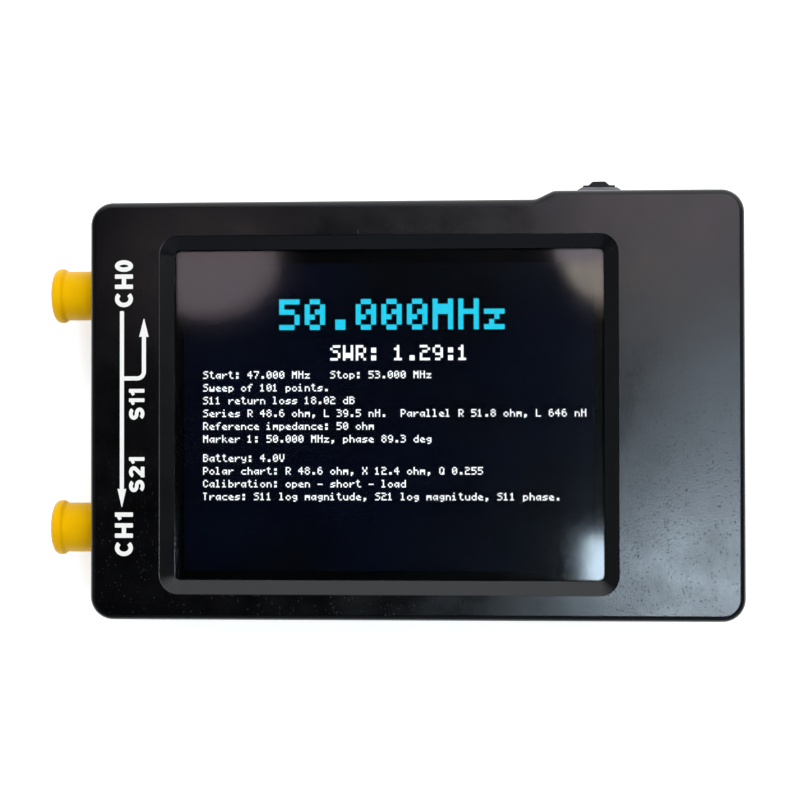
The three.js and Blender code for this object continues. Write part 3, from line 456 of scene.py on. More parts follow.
# Natural nylon mouldings: milky white and waxy
whiteNylon = plainFinish("naturalNylon", {
    "colour": "#e9e8e2", "second": "#dedcd3", "roughness": 0.45, "uneven": 0.06,
    "mottle": 3.0, "grain": 0.2, "depth": 0.004,
})

# Turned fluoropolymer: dense white with a soft sheen
fluoropolymer = plainFinish("turnedFluoropolymer", {
    "colour": "#f1efe8", "second": "#e7e4da", "roughness": 0.35, "uneven": 0.05,
    "mottle": 1.2, "grain": 0.12, "depth": 0.003,
})

# Closed-cell foam tape: matt black with open pores
foamTape = plainFinish("foamTape", {
    "colour": "#1b1b1b", "second": "#101010", "roughness": 0.95, "uneven": 0.04,
    "mottle": 0.9, "grain": 0.4, "depth": 0.08,
})

# Polyimide film over copper: clear amber with darker tracks showing through
amberFilm = plainFinish("polyimideFilm", {
    "colour": "#b5761c", "second": "#8e5410", "roughness": 0.3, "uneven": 0.06,
    "mottle": 1.1, "grain": 0.5, "depth": 0.01,
})

# Aluminium laminate pouch: soft grey metal with shallow creases
pouchFoil = plainFinish("laminatePouch", {
    "colour": "#a9adb1", "second": "#95999e", "roughness": 0.42, "uneven": 0.08, "metallic": 0.8,
    "mottle": 5.0, "grain": 3.0, "depth": 0.12,
})

# Epoxy chip packages: dark grey with a sanded skin
chipEpoxy = plainFinish("mouldedEpoxy", {
    "colour": "#1d1d1f", "second": "#262628", "roughness": 0.6, "uneven": 0.06,
    "mottle": 0.8, "grain": 0.1, "depth": 0.005,
})

# Clear resin lamp bodies
lampResin = plainFinish("clearResin", {
    "colour": "#dfe7ee", "second": "#cbd5dd", "roughness": 0.2, "uneven": 0.05,
    "mottle": 0.5, "grain": 0.2, "depth": 0.004,
})

# Wire insulation, red and black: smooth extruded silicone
redSilicone = plainFinish("redSilicone", {
    "colour": "#b3161a", "second": "#9c1014", "roughness": 0.5, "uneven": 0.06,
    "mottle": 1.5, "grain": 0.3, "depth": 0.006,
})
blackSilicone = plainFinish("blackSilicone", {
    "colour": "#151516", "second": "#1d1d1e", "roughness": 0.5, "uneven": 0.06,
    "mottle": 1.5, "grain": 0.3, "depth": 0.006,
})

# Glass-filled nylon of the socket's tongue: plain matt black
blackMoulding = plainFinish("filledNylon", {
    "colour": "#131314", "second": "#1c1c1d", "roughness": 0.55, "uneven": 0.06,
    "mottle": 0.9, "grain": 0.12, "depth": 0.006,
})

# Circuit board under solder mask: dark green, with raised tracks as lighter lines
boardLook = {"colour": "#0f2a1a", "track": "#1c4429", "pitch": 1.27, "roughness": 0.32, "relief": 0.03}


def boardFinish(look):
    made, tree, shader, place = startFinish("solderMask", look["colour"], look["roughness"])
    scale = 1 / (look["pitch"] * mm)
    feeds = {"Vector": place, "Scale": scale, "Mortar Size": 0.05, "Brick Width": 1.0, "Row Height": 0.4}
    lines = put(tree, "ShaderNodeTexBrick", feeds)["Fac"]
    feeds = {"Factor": lines, 6: linear(look["colour"]), 7: linear(look["track"])}
    colour = put(tree, "ShaderNodeMix", feeds, data_type="RGBA")[2]
    feeds = {"Height": lines, "Distance": look["relief"] * mm, "Strength": 1.0}
    bump = put(tree, "ShaderNodeBump", feeds)[0]
    fill(tree, shader, {"Base Color": colour, "Normal": bump})
    return made


solderMask = boardFinish(boardLook)

# Hard-coated cover glass: clear, very smooth, faintly smeared so that a lamp's image is soft at its edge
coverLook = {
    "colour": "#f4f6f7",
    "roughness": 0.052,
    "clearest": 0.8,  # shares of the roughness where it is least and most smeared
    "haziest": 1.3,
    "smear": 14.0,
    "ior": 1.5,
}


def coverFinish(look):
    made, tree, shader, place = startFinish("coverGlass", look["colour"], look["roughness"])
    feeds = {"Vector": place, "Scale": 1 / (look["smear"] * mm), "Detail": 4.0}
    smear = put(tree, "ShaderNodeTexNoise", feeds)[0]
    least, most = look["roughness"] * look["clearest"], look["roughness"] * look["haziest"]
    feeds = {**cloudSpan, "Value": smear, "To Min": least, "To Max": most}
    rough = put(tree, "ShaderNodeMapRange", feeds)[0]
    fill(tree, shader, {"Roughness": rough, "Transmission Weight": 1.0, "IOR": look["ior"]})
    return made


coverGlass = coverFinish(coverLook)

# The display: a black mask round a field whose backlight leaks a little blue, more in some places
displayLook = {
    "mask": "#020203",
    "field": "#020408",
    "leak": "#243a70",
    "leakStrength": 0.05,
    "cloud": 22.0,
    "roughness": 0.25,
    "gloss": 0.05,
}


def displayFinish(name, colour, glow, strength):
    look = displayLook
    made, tree, shader, place = startFinish(name, colour, look["roughness"])
    feeds = {"Vector": place, "Scale": 1 / (look["cloud"] * mm), "Detail": 2.0}
    cloud = put(tree, "ShaderNodeTexNoise", feeds)[0]
    share = put(tree, "ShaderNodeMapRange", {**cloudSpan, "Value": cloud})[0]
    feeds = {"Factor": share, 6: linear(glow), 7: linear(colour)}
    shade = put(tree, "ShaderNodeMix", feeds, data_type="RGBA")[2]
    fill(tree, shader, {"Emission Color": shade, "Emission Strength": strength})
    fill(tree, shader, {"Specular IOR Level": look["gloss"]})
    return made


displayMask = displayFinish("displayMask", displayLook["mask"], displayLook["mask"], 0.0)
displayField = displayFinish(
    "displayField", displayLook["field"], displayLook["leak"], displayLook["leakStrength"]
)

# Lit dots of the readout, each a little uneven as liquid-crystal cells are
litLook = {"unlit": "#050505", "roughness": 0.6, "cell": 0.35, "dimmest": 0.86}


def litFinish(name, colour, strength):
    look = litLook
    made, tree, shader, place = startFinish(name, look["unlit"], look["roughness"])
    dim = (*[c * look["dimmest"] for c in linear(colour)[:3]], 1.0)
    shade = mottle(tree, place, look["cell"], 1.0, linear(colour), dim)[1]
    fill(tree, shader, {"Emission Color": shade, "Emission Strength": strength})
    return made


litCyan = litFinish("litCyan", "#17d2f1", 1.3)
litWhite = litFinish("litWhite", "#f6f8fa", 1.6)
print("finishes ready")

# Case

caseLook = {
    "cornerRadius": 3.2,
    "sideWall": 2.0,
    "frontWall": 1.9,
    "rearWall": 2.0,
    "frontFillet": 0.9,
    "rearFillet": 1.2,
    "slopeRun": 2.5,
    "stepRadius": 2.0,
    "leverToStep": 6.7,
    "partLine": 0.12,  # chamfer on each half where they meet
    "lipHeight": 1.2,
    "lipThickness": 0.9,
    "lipGap": 0.2,
    "bossRadius": 2.45,
    "wellRadius": 1.95,
    "wellDepth": 2.2,
    "wellSides": 48,
    "screwBore": 1.15,
    "boreSpare": 1.2,
    "standoffRadius": 2.2,
    "pilotRadius": 1.05,
    "pilotDepth": 3.9,
    "pilotSides": 24,
    "ribThickness": 1.0,
    "ribGap": 0.3,
    "moduleRibLength": 6.0,
    "moduleRibHeight": 2.5,
    "batteryRibLength": 12.0,
    "batteryRibHeight": 1.6,
    "mouthRound": 0.22,  # flare at the outside of each hole
}
windowLook = {
    "activeLength": 57.6,
    "activeWidth": 43.2,
    "farMargin": 3.0,
    "marginLeft": 1.1,
    "marginRight": 1.35,
    "marginBottom": 1.2,
    "marginTop": 1.8,
    "bevelWidth": 1.87,
    "bevelDepth": 1.4,
    "cornerRadius": 0.8,
    "outerRound": 0.3,
    "innerRound": 0.14,
}
stepX = jogX - caseLook["leverToStep"]
caseCorners = [
    (-halfLength, -halfDepth, caseLook["cornerRadius"]),
    (halfLength, -halfDepth, caseLook["cornerRadius"]),
    (halfLength, outerTop, caseLook["cornerRadius"]),
    (stepX, outerTop, caseLook["stepRadius"]),
    (stepX - caseLook["slopeRun"], halfDepth, caseLook["stepRadius"]),
    (-halfLength, halfDepth, caseLook["cornerRadius"]),
]
activeX = panelLow.x + windowLook["farMargin"] + windowLook["activeLength"] / 2
activeY = (panelLow.y + panelHigh.y) / 2


def caseRing(inset, height):
    return rounded(caseCorners, inset, steps=14), height


# Rings of an outer fillet between a side wall and a face, from the wall's edge to the face
def filletRings(radius, wallHeight, side, steps=9):
    rings = []
    for k in range(steps + 1):
        angle = math.pi / 2 * k / steps
        height = wallHeight + side * radius * math.sin(angle)
        rings.append(caseRing(radius * (1 - math.cos(angle)), height))
    return rings


def windowRing(inset, height):
    look = windowLook
    grown = look["bevelWidth"]
    corners = box(
        activeX - look["activeLength"] / 2 - look["marginLeft"] - grown,
        activeY - look["activeWidth"] / 2 - look["marginBottom"] - grown,
        activeX + look["activeLength"] / 2 + look["marginRight"] + grown,
        activeY + look["activeWidth"] / 2 + look["marginTop"] + grown,
        look["cornerRadius"] + grown,
    )
    return rounded(corners, inset, steps=12), height


# The window's cutter follows its wall, a small round, the bevel and the round at its rim
def windowCutter():
    look = windowLook
    inner = caseTop - caseLook["frontWall"] - overrun
    profile = rounded(
        [
            (look["bevelWidth"], inner, 0),
            (look["bevelWidth"], caseTop - look["bevelDepth"], look["innerRound"]),
            (0, caseTop, look["outerRound"]),
            (-look["bevelWidth"], caseTop, 0),
        ],
        closed=False,
        steps=5,
    )[:-1]
    rim = profile[-1]
    profile.append(Vector((rim.x, caseTop + overrun)))
    return loft("windowCutter", [windowRing(p.x, p.y) for p in profile])


towardsTop = Matrix.Rotation(-math.pi / 2, 4, "X")  # local Z points to +Y
towardsLeft = Matrix.Rotation(-math.pi / 2, 4, "Y")  # local Z points to -X
towardsRight = Matrix.Rotation(math.pi / 2, 4, "Y")  # local Z points to +X


def at(x, y, z):
    return Matrix.Translation((x, y, z))


# A hole through a wall: its outline from inside to outside, flared at the outside.
# The outline's own Z runs outwards, and surface is where the wall's outside lies on it.
def holeCutter(name, corners, surface, place):
    flare = caseLook["mouthRound"]
    rings = [(rounded(corners), surface - (caseLook["sideWall"] + overrun))]
    for k in range(flareSteps + 1):
        angle = math.pi / 2 * k / flareSteps
        grow = flare * (1 - math.cos(angle))
        rings.append((rounded(corners, -grow), surface - flare + flare * math.sin(angle)))
    rings.append((rounded(corners, -flare), surface + overrun))
    return loft(name, rings, place)


holeLook = {
    "jackGap": 0.4,
    "usbGap": 0.3,
    "jogHalfHeight": 1.6,
    "jogGap": 0.3,
    "jogCorner": 0.3,
    "knobGap": 0.3,
    "knobCorner": 0.25,
}


# Holes in the side walls; each half of the case is cut by its part of them
def portCutters():
    look = holeLook
    radius = barrelLook["radius"] + look["jackGap"]
    jack = box(-radius, -radius, radius, radius, radius)
    halfHeight = (usbHigh.z - usbLow.z) / 2 + look["usbGap"]
    halfWidth = (usbHigh.x - usbLow.x) / 2 + look["usbGap"]
    usb = box(-halfWidth, -halfHeight, halfWidth, halfHeight, halfHeight - hair)
    noseHalf = noseLook["halfWidth"] + look["jogGap"]
    jog = box(-noseHalf, -look["jogHalfHeight"], noseHalf, look["jogHalfHeight"], look["jogCorner"])
    reach = (knobLook["width"] + knobLook["travel"]) / 2 + look["knobGap"]
    halfKnob = knobLook["height"] / 2 + look["knobGap"]
    knob = box(-halfKnob, -reach, halfKnob, reach, look["knobCorner"])
    return [
        holeCutter("jackHole", jack, halfLength, at(0, jackY, jackZ) @ towardsLeft),
        holeCutter("jackHole", jack, halfLength, at(0, -jackY, jackZ) @ towardsLeft),
        holeCutter("usbHole", usb, outerTop, at(usbX, 0, usbZ) @ towardsTop),
        holeCutter("jogHole", jog, outerTop, at(jogX, 0, noseZ) @ towardsTop),
        holeCutter("knobHole", knob, halfLength, at(0, knobMiddle, knobZ) @ towardsRight),
    ]


barrelLook = {
    "length": 8.4,
    "radius": 3.1,  # mean radius of the thread
    "core": 2.84,
    "crest": 3.17,
    "sink": 0.06,
    "pitch": 0.7056,  # 36 threads to the inch
    "rootShare": 0.86,  # widths of the ridge at its foot and its crest, as shares of the pitch
    "crestShare": 0.12,
    "threadSteps": 36,
    "threadStart": 1.5,
    "plainEnd": 0.7,
    "shoulder": 0.9,
    "shoulderRound": 0.1,
    "footRound": 0.02,
    "endRound": 0.25,
    "bore": 2.15,
    "boreFlare": 0.2,
    "flangeThickness": 1.7,
    "flangeSide": 6.4,
    "flangeCorner": 0.35,
    "flangeEdge": 0.12,
    "legSide": 1.0,
    "legLength": 4.0,
    "sides": 72,
    "boreSides": 64,
}
noseLook = {
    "pullBack": 0.04,
    "halfWidth": 3.1,
    "tipHalfWidth": 2.5,
    "chamfer": 0.35,
    "sheet": 0.35,
    "slot": 1.9,
    "sideWall": 0.6,
    "wallGap": 0.4,  # between the housing and the case's wall
    "bodyCorner": 0.3,
    "bodyEdge": 0.08,
    "rootRound": 0.05,
    "noseRound": 0.3,
    "noseEdge": 0.07,
}
noseZ = jogLow.z + 2 * noseLook["sheet"] + noseLook["slot"] / 2
knobLook = {
    "width": 1.5,
    "height": 1.4,
    "travel": 2.0,
    "corner": 0.15,
    "edge": 0.1,
    "baseWidth": 3.0,
    "baseDepth": 0.7,
    "ribs": 3,
    "ribRadius": 0.14,
    "ribPitch": 0.42,
    "ribShort": 0.3,  # the ribs are this much shorter than the knob is high
    "ribSides": 16,
}
knobZ = (knobLow.z + knobHigh.z) / 2
knobMiddle = (powerLow.y + powerHigh.y) / 2


def roundPost(radius, low, high, x, y, sides=40):
    return turned("post", [(0, low), (radius, low), (radius, high), (0, high)], sides, at(x, y, 0))


def fourPlaces(x, y):
    return [(sx * x, sy * y) for sx in (-1, 1) for sy in (-1, 1)]


bossPlaces = fourPlaces(bossX, bossY)
standoffPlaces = fourPlaces(standoffX, standoffY)


def bar(x0, y0, z0, x1, y1, z1):
    return loft("bar", [(rounded(box(x0, y0, x1, y1, 0)), z) for z in (z0, z1)])


# A straight block with the case's outline, drawn in by inset
def caseBlock(name, inset, low, high):
    return loft(name, [caseRing(inset, low), caseRing(inset, high)])


# Short ribs that hold the screen module at its corners
def moduleRibs(inner):
    look = caseLook
    thick, length = look["ribThickness"], look["moduleRibLength"]
    left, bottom = panelLow.x - look["ribGap"], panelLow.y - look["ribGap"]
    right, top = panelHigh.x + look["ribGap"], panelHigh.y + look["ribGap"]
    low, high = inner - look["moduleRibHeight"], inner + look["frontWall"] / 2
    ribs = []
    for y in (bottom - thick, top - length):
        ribs.append(bar(left - thick, y, low, left, y + length + thick, high))
        ribs.append(bar(right, y, low, right + thick, y + length + thick, high))
    for x in (left, right - length):
        ribs.append(bar(x, bottom - thick, low, x + length, bottom, high))
        ribs.append(bar(x, top, low, x + length, top + thick, high))
    return ribs


# Low ribs that stop the battery from sliding
def batteryRibs():
    look = caseLook
    thick, half = look["ribThickness"], look["batteryRibLength"] / 2
    low, high = look["rearWall"] / 2, look["rearWall"] + look["batteryRibHeight"]
    left, bottom = batteryLow.x - look["ribGap"], batteryLow.y - look["ribGap"]
    right, top = batteryHigh.x + look["ribGap"], batteryHigh.y + look["ribGap"]
    x, y = (left + right) / 2, (bottom + top) / 2
    return [
        bar(left - thick, y - half, low, left, y + half, high),
        bar(right, y - half, low, right + thick, y + half, high),
        bar(x - half, bottom - thick, low, x + half, bottom, high),
        bar(x - half, top, low, x + half, top + thick, high),
    ]


def frontShell():
    look = caseLook
    chamfer = look["partLine"]
    top = filletRings(look["frontFillet"], caseTop - look["frontFillet"], 1)
    skin = loft("frontShell", [caseRing(chamfer, parting), caseRing(0, parting + chamfer), *top])
    inner = caseTop - look["frontWall"]
    hollow = caseBlock("hollow", look["sideWall"], parting - overrun, inner)
    seat = look["sideWall"] - look["lipThickness"] - look["lipGap"]
    rebate = caseBlock("rebate", seat, parting - overrun, parting + look["lipHeight"] + look["lipGap"])
    carve(skin, [hollow, rebate])
    posts = [roundPost(look["bossRadius"], parting, inner + overrun / 2, x, y) for x, y in bossPlaces]
    carve(skin, [*posts, *moduleRibs(inner)], "UNION")
    boreEnd = screwHigh.z + look["boreSpare"]
    bores = [roundPost(look["screwBore"], parting - overrun, boreEnd, x, y) for x, y in bossPlaces]
    carve(skin, [windowCutter(), *portCutters(), *bores])
    dress(skin, caseAbs, "case", ["front_shell"])


# The well of a screw's head, flared where it opens
def wellCutter(x, y):
    look = caseLook
    flare = look["mouthRound"]
    profile = [(0, look["wellDepth"]), (look["wellRadius"], look["wellDepth"])]
    for k in range(flareSteps + 1):
        angle = math.pi / 2 * k / flareSteps
        grow = flare * (1 - math.cos(angle))
        profile.append((look["wellRadius"] + grow, flare - flare * math.sin(angle)))
    profile += [(look["wellRadius"] + flare, -overrun), (0, -overrun)]
    return turned("well", list(reversed(profile)), look["wellSides"], at(x, y, 0))


def rearShell():
    look = caseLook
    chamfer = look["partLine"]
    low = filletRings(look["rearFillet"], look["rearFillet"], -1)
    skin = loft("rearShell", [*reversed(low), caseRing(0, parting - chamfer), caseRing(chamfer, parting)])
    lipTop = parting + look["lipHeight"]
    lip = caseBlock("lip", look["sideWall"] - look["lipThickness"], parting - overrun, lipTop)
    carve(skin, [lip], "UNION")
    carve(skin, [caseBlock("hollow", look["sideWall"], look["rearWall"], lipTop + overrun)])
    root = look["rearWall"] / 2
    posts = [roundPost(look["bossRadius"], root, parting, x, y) for x, y in bossPlaces]
    posts += [roundPost(look["standoffRadius"], root, boardLow.z, x, y) for x, y in standoffPlaces]
    carve(skin, [*posts, *batteryRibs()], "UNION")
    cutters = [wellCutter(x, y) for x, y in bossPlaces]
    for x, y in bossPlaces:
        cutters.append(roundPost(look["screwBore"], 0, parting + overrun, x, y))
        cutters.append(roundPost(look["bossRadius"] + look["lipGap"], parting, lipTop + overrun, x, y))
    low, high = boardLow.z - look["pilotDepth"], boardLow.z + overrun
    for x, y in standoffPlaces:
        cutters.append(roundPost(look["pilotRadius"], low, high, x, y, look["pilotSides"]))
    carve(skin, [*cutters, *portCutters()])
    dress(skin, caseAbs, "case", ["rear_shell"])


frontShell()
rearShell()

# Screen

screenLook = {
    "cornerRadius": 0.6,
    "panelEdge": 0.12,
    "glassEdge": 0.08,
    "drop": 0.04,  # the display's face lies this far under the cover
    "film": 0.012,
    "dot": 0.18,
    "columns": 320,
    "rows": 240,
    "dotShare": 0.96,
}


# A plate with an outline, rounded along its edges
def slab(name, corners, low, high, edge, place=None, steps=6, edgeSteps=3):
    rings = []
    for k in range(edgeSteps + 1):
        angle = math.pi / 2 * k / edgeSteps
        rings.append((edge * (1 - math.sin(angle)), edge * (1 - math.cos(angle))))
    outlines = [(rounded(corners, inset, steps=steps), low + rise) for inset, rise in rings]
    outlines += [(rounded(corners, inset, steps=steps), high - rise) for inset, rise in reversed(rings)]
    return loft(name, outlines, place)


def coverPanel():
    look = screenLook
    corners = box(panelLow.x, panelLow.y, panelHigh.x, panelHigh.y, look["cornerRadius"])
    panel = slab("coverPanel", corners, panelLow.z, panelHigh.z, look["panelEdge"])
    dress(panel, coverGlass, "case", ["touch_panel"])


def displayPlate():
    look = screenLook
    low, high = nodeBox("screen_glass")
    face, film = high.z - look["drop"], look["film"]
    corners = box(low.x, low.y, high.x, high.y, look["cornerRadius"])
    plate = slab("displayGlass", corners, low.z, face, look["glassEdge"])
    dress(plate, displayMask, "case", ["screen_glass"])
    halfX, halfY = windowLook["activeLength"] / 2, windowLook["activeWidth"] / 2
    corners = box(activeX - halfX, activeY - halfY, activeX + halfX, activeY + halfY, film)
    field = slab("litField", corners, face - film, face + film / 2, film / 4, steps=2)
    dress(field, displayField, "case")


# A dot font of four by seven: one hexadecimal digit a row, from the top, the last row for descenders
dotFont = {
    "0": "69bd960", "1": "4c444e0", "2": "e1688f0", "3": "e1611e0", "4": "26af220", "5": "f8e11e0",
    "6": "68e9960", "7": "f122440", "8": "6969960", "9": "6997160", "A": "699f990", "B": "e9e99e0",
    "C": "6988960", "D": "e9999e0", "H": "99f9990", "L": "88888f0", "M": "9ff9990", "P": "e99e880",
    "Q": "6999b70", "R": "e99ea90", "S": "78611e0", "T": "e444440", "V": "9999660", "W": "999ff90",
    "X": "9966990", "a": "0079b50", "b": "88e99e0", "c": "0078870", "d": "1179970", "e": "006bc70",
    "f": "34e4440", "g": "0079716", "h": "88e9990", "i": "40c44e0", "k": "88aca90", "l": "c4444e0",
    "m": "00ff990", "n": "00e9990", "o": "0069960", "p": "00e99e8", "q": "0079971", "r": "00bc880",
    "s": "007c3e0", "t": "4e44430", "u": "0099970", "w": "0099ff0", "y": "0099716", "z": "00f24f0",
    ".": "0000660", ",": "0000664", ":": "0660660", "-": "000f000",
}
cellColumns = 5

# What the screen shows: text, its left column, its top row and the dots to a font dot
titleLines = [("50.000MHz", 75, 28, 4)]
textLines = [
    ("SWR: 1.29:1", 115, 64, 2),
    ("Start: 47.000 MHz   Stop: 53.000 MHz", 15, 84, 1),
    ("Sweep of 101 points.", 15, 94, 1),
    ("S11 return loss 18.02 dB", 15, 104, 1),
    ("Series R 48.6 ohm, L 39.5 nH.  Parallel R 51.8 ohm, L 646 nH", 15, 114, 1),
    ("Reference impedance: 50 ohm", 15, 124, 1),
    ("Marker 1: 50.000 MHz, phase 89.3 deg", 15, 134, 1),
    ("Battery: 4.0V", 15, 149, 1),
    ("Polar chart: R 48.6 ohm, X 12.4 ohm, Q 0.255", 15, 159, 1),
    ("Calibration: open - short - load", 15, 169, 1),
    ("Traces: S11 log magnitude, S21 log magnitude, S11 phase.", 15, 179, 1),
]


# Places of the lit dots, each a column and a row of the screen
def litDots(lines):
    for text, left, top, size in lines:
        for index, letter in enumerate(text):
            for row, digit in enumerate(dotFont.get(letter, "")):
                for column in range(4):
                    if not int(digit, 16) >> (3 - column) & 1:
                        continue
                    x = left + (index * cellColumns + column) * size
                    y = top + row * size
                    for dy in range(size):
                        for dx in range(size):
                            yield x + dx, y + dy


def growDots(tree, given):
    side = given["Dot Side"]
    size = put(tree, "ShaderNodeCombineXYZ", {0: side, 1: side, 2: given["Dot Height"]})[0]
    dot = put(tree, "GeometryNodeMeshCube", {"Size": size})[0]
    feeds = {"Points": given["Geometry"], "Instance": dot}
    return put(tree, "GeometryNodeInstanceOnPoints", feeds)[0]


dotTree = growTree("litDotPattern", growDots, {"Dot Side": "Float", "Dot Height": "Float"})


def readout(name, lines, finish):
    look = screenLook
    height = nodeBox("screen_glass")[1].z - look["drop"] + look["film"]
    points = []
    for column, row in litDots(lines):
        x = activeX + (column + 0.5 - look["columns"] / 2) * look["dot"]
        y = activeY - (row + 0.5 - look["rows"] / 2) * look["dot"]
        points.append((x, y, height))
    piece = newPiece(name, points, [])
    side = look["dot"] * look["dotShare"] * mm
    growOn(piece, dotTree, dotSide=side, dotHeight=look["film"] * mm, finish=finish)
    dress(piece, finish, "case", weigh=False)


coverPanel()
displayPlate()
readout("readoutTitle", titleLines, litCyan)
readout("readoutText", textLines, litWhite)

# Printed lettering beside the jacks: what each jack is and what is measured between them

printLook = {
    "stroke": 0.24,  # share of the cap height, as the next three are
    "flag": 0.2,
    "gap": 0.14,
    "corner": 0.04,
    "film": 0.03,
    "lineWidth": 0.58,
    "lineCorner": 0.12,
    "branchCorner": 0.02,
    "bend": 0.95,
    "headCorner": 0.06,
    "headNotch": 0.12,
    "headTip": 0.05,
}
# Each label, where its baseline is, where it starts and its cap height
labelPlaces = [
    ("CH0", -39.40, 14.49, 2.55),
    ("CH1", -39.38, -20.29, 2.55),
    ("S11", -37.77, -1.26, 2.19),
    ("S21", -37.76, -11.36, 2.19),
]
# A line down along the labels, and a branch that leaves it and turns up; each ends in an arrow head
lineLook = {"x": -40.95, "start": 13.94, "end": -11.1, "headBase": -10.88, "tip": -13.6, "headHalf": 0.62}
branchLook = {"x": -37.85, "start": 4.52, "end": 10.6, "headBase": 10.29, "tip": 13.02, "headHalf": 0.68}


def arc(x, y, halfWidth, halfHeight, start, end, steps=14):
    path = []
    for k in range(steps + 1):
        angle = math.radians(start + (end - start) * k / steps)
        path.append((x + halfWidth * math.cos(angle), y + halfHeight * math.sin(angle)))
    return path


# The outline of a stroke of ink along a path, its four end corners slightly rounded
def stroke(path, width, corner):
    path = [Vector(p) for p in path]
    last = len(path) - 1
    left, right = [], []
    for i, p in enumerate(path):
        comes = (p - path[i - 1] if i else path[1] - p).normalized()
        goes = (path[i + 1] - p).normalized() if i < last else comes
        side = Vector((-comes.y - goes.y, comes.x + goes.x)) / (1 + comes.dot(goes)) * width / 2
        radius = corner if i in (0, last) else 0
        left.append((*(p + side), radius))
        right.append((*(p - side), radius))
    return right + left[::-1]


# Each letter: its width and its strokes as (path, width), for a cap height of 1
def letterForms():
    w, flag = printLook["stroke"], printLook["flag"]
    low, high, middle = w / 2, 1 - w / 2, 0.5
    bowl = (high - middle) / 2
    upper, lower = middle + bowl, middle - bowl
    right = 0.68  # where the second stem of H stands
    return {
        "C": (0.86, [(arc(0.45, middle, 0.33, middle - low, 44, 316, 22), w)]),
        "H": (0.80, [
            ([(low, 0), (low, 1)], w),
            ([(right, 0), (right, 1)], w),
            ([(low, middle), (right, middle)], w),
        ]),
        "S": (0.78, [
            (arc(0.39, upper, 0.27, bowl, 22, 270) + arc(0.39, lower, 0.27, bowl, 90, -158)[1:], w),
        ]),
        "0": (0.64, [
            (arc(0.32, middle, 0.2, middle - low, 75, 285, 18), w),
            (arc(0.32, middle, 0.2, middle - low, -105, 105, 18), w),
        ]),
        "1": (0.46, [([(0.33, 0), (0.33, 1)], w), ([(0.36, 0.86), (0.05, 0.7)], flag)]),
        "2": (0.72, [
            ([*arc(0.36, upper, 0.25, bowl, 168, -28), (0.17, 0.16)], w),
            ([(0.02, low), (0.7, low)], w),
        ]),
    }


def inkPlate(corners):
    film = printLook["film"]
    outline = rounded(corners, steps=4)
    return loft("ink", [(outline, caseTop - film / 2), (outline, caseTop + film / 2)])


# Text that reads from the bottom of the case to its top
def inkText(text, baseline, start, height):
    forms = letterForms()
    plates, along = [], 0.0
    for letter in text:
        width, strokes = forms[letter]
        for path, thick in strokes:
            corners = stroke([(along + u, v) for u, v in path], thick, printLook["corner"])
            placed = [(baseline - v * height, start + u * height, r * height) for u, v, r in corners]
            plates.append(inkPlate(placed))
        along += width + printLook["gap"]
    return plates


def arrowHead(look):
    x, base, half = look["x"], look["headBase"], look["headHalf"]
    way = math.copysign(1, look["tip"] - base)
    return inkPlate([
        (x - way * half, base, printLook["headCorner"]),
        (x, base + way * printLook["headNotch"], 0),
        (x + way * half, base, printLook["headCorner"]),
        (x, look["tip"], printLook["headTip"]),
    ])


def frontPrint():
    look = printLook
    plates = []
    for label in labelPlaces:
        plates += inkText(*label)
    x, side, fork = lineLook["x"], branchLook["x"], branchLook["start"]
    line = [(x, lineLook["start"]), (x, lineLook["end"])]
    plates.append(inkPlate(stroke(line, look["lineWidth"], look["lineCorner"])))
    plates.append(arrowHead(lineLook))
    elbow = [(x, fork, 0), (side, fork, look["bend"]), (side, branchLook["end"], 0)]
    elbow = stroke(rounded(elbow, closed=False), look["lineWidth"], look["branchCorner"])
    plates.append(inkPlate(elbow))
    plates.append(arrowHead(branchLook))
    ink = carve(plates[0], plates[1:], "UNION")
    ink.name = "frontPrint"
    dress(ink, printInk, "case", weigh=False)


frontPrint()

# Dust caps

capLook = {
    "radius": 3.55,
    "rimRadius": 3.92,
    "rimLength": 1.9,
    "rimRound": 0.9,
    "rimBlend": 0.5,
    "endThickness": 0.7,
    "endCrown": 0.06,
    "bore": 3.25,
    "mouthRound": 0.14,
    "sides": 96,
}


def dustCap(index, side):
    look = capLook
    length = capHigh.x - capLow.x
    rim = length - look["rimLength"]
    inside = length - look["endThickness"]
    profile = [
        (0, inside, 0),
        (look["bore"], inside, look["rimBlend"]),
        (look["bore"], 0, look["mouthRound"]),
        (look["radius"], 0, look["mouthRound"]),
        (look["radius"], rim, look["rimBlend"]),
        (look["rimRadius"], rim + look["rimBlend"], look["rimBlend"]),
        (look["rimRadius"], length - look["endCrown"], look["rimRound"]),
        (0, length, 0),
    ]
    place = at(capHigh.x, side * jackY, jackZ) @ towardsLeft
    cap = turned(f"dustCap{index}", rounded(profile, closed=False, steps=6), look["sides"], place)
    dress(cap, capVinyl, f"cap_{index}", [f"dust_cap_{index}"], sharpAngle=50)


for index, side in enumerate((1, -1)):
    dustCap(index, side)

# Coaxial jacks

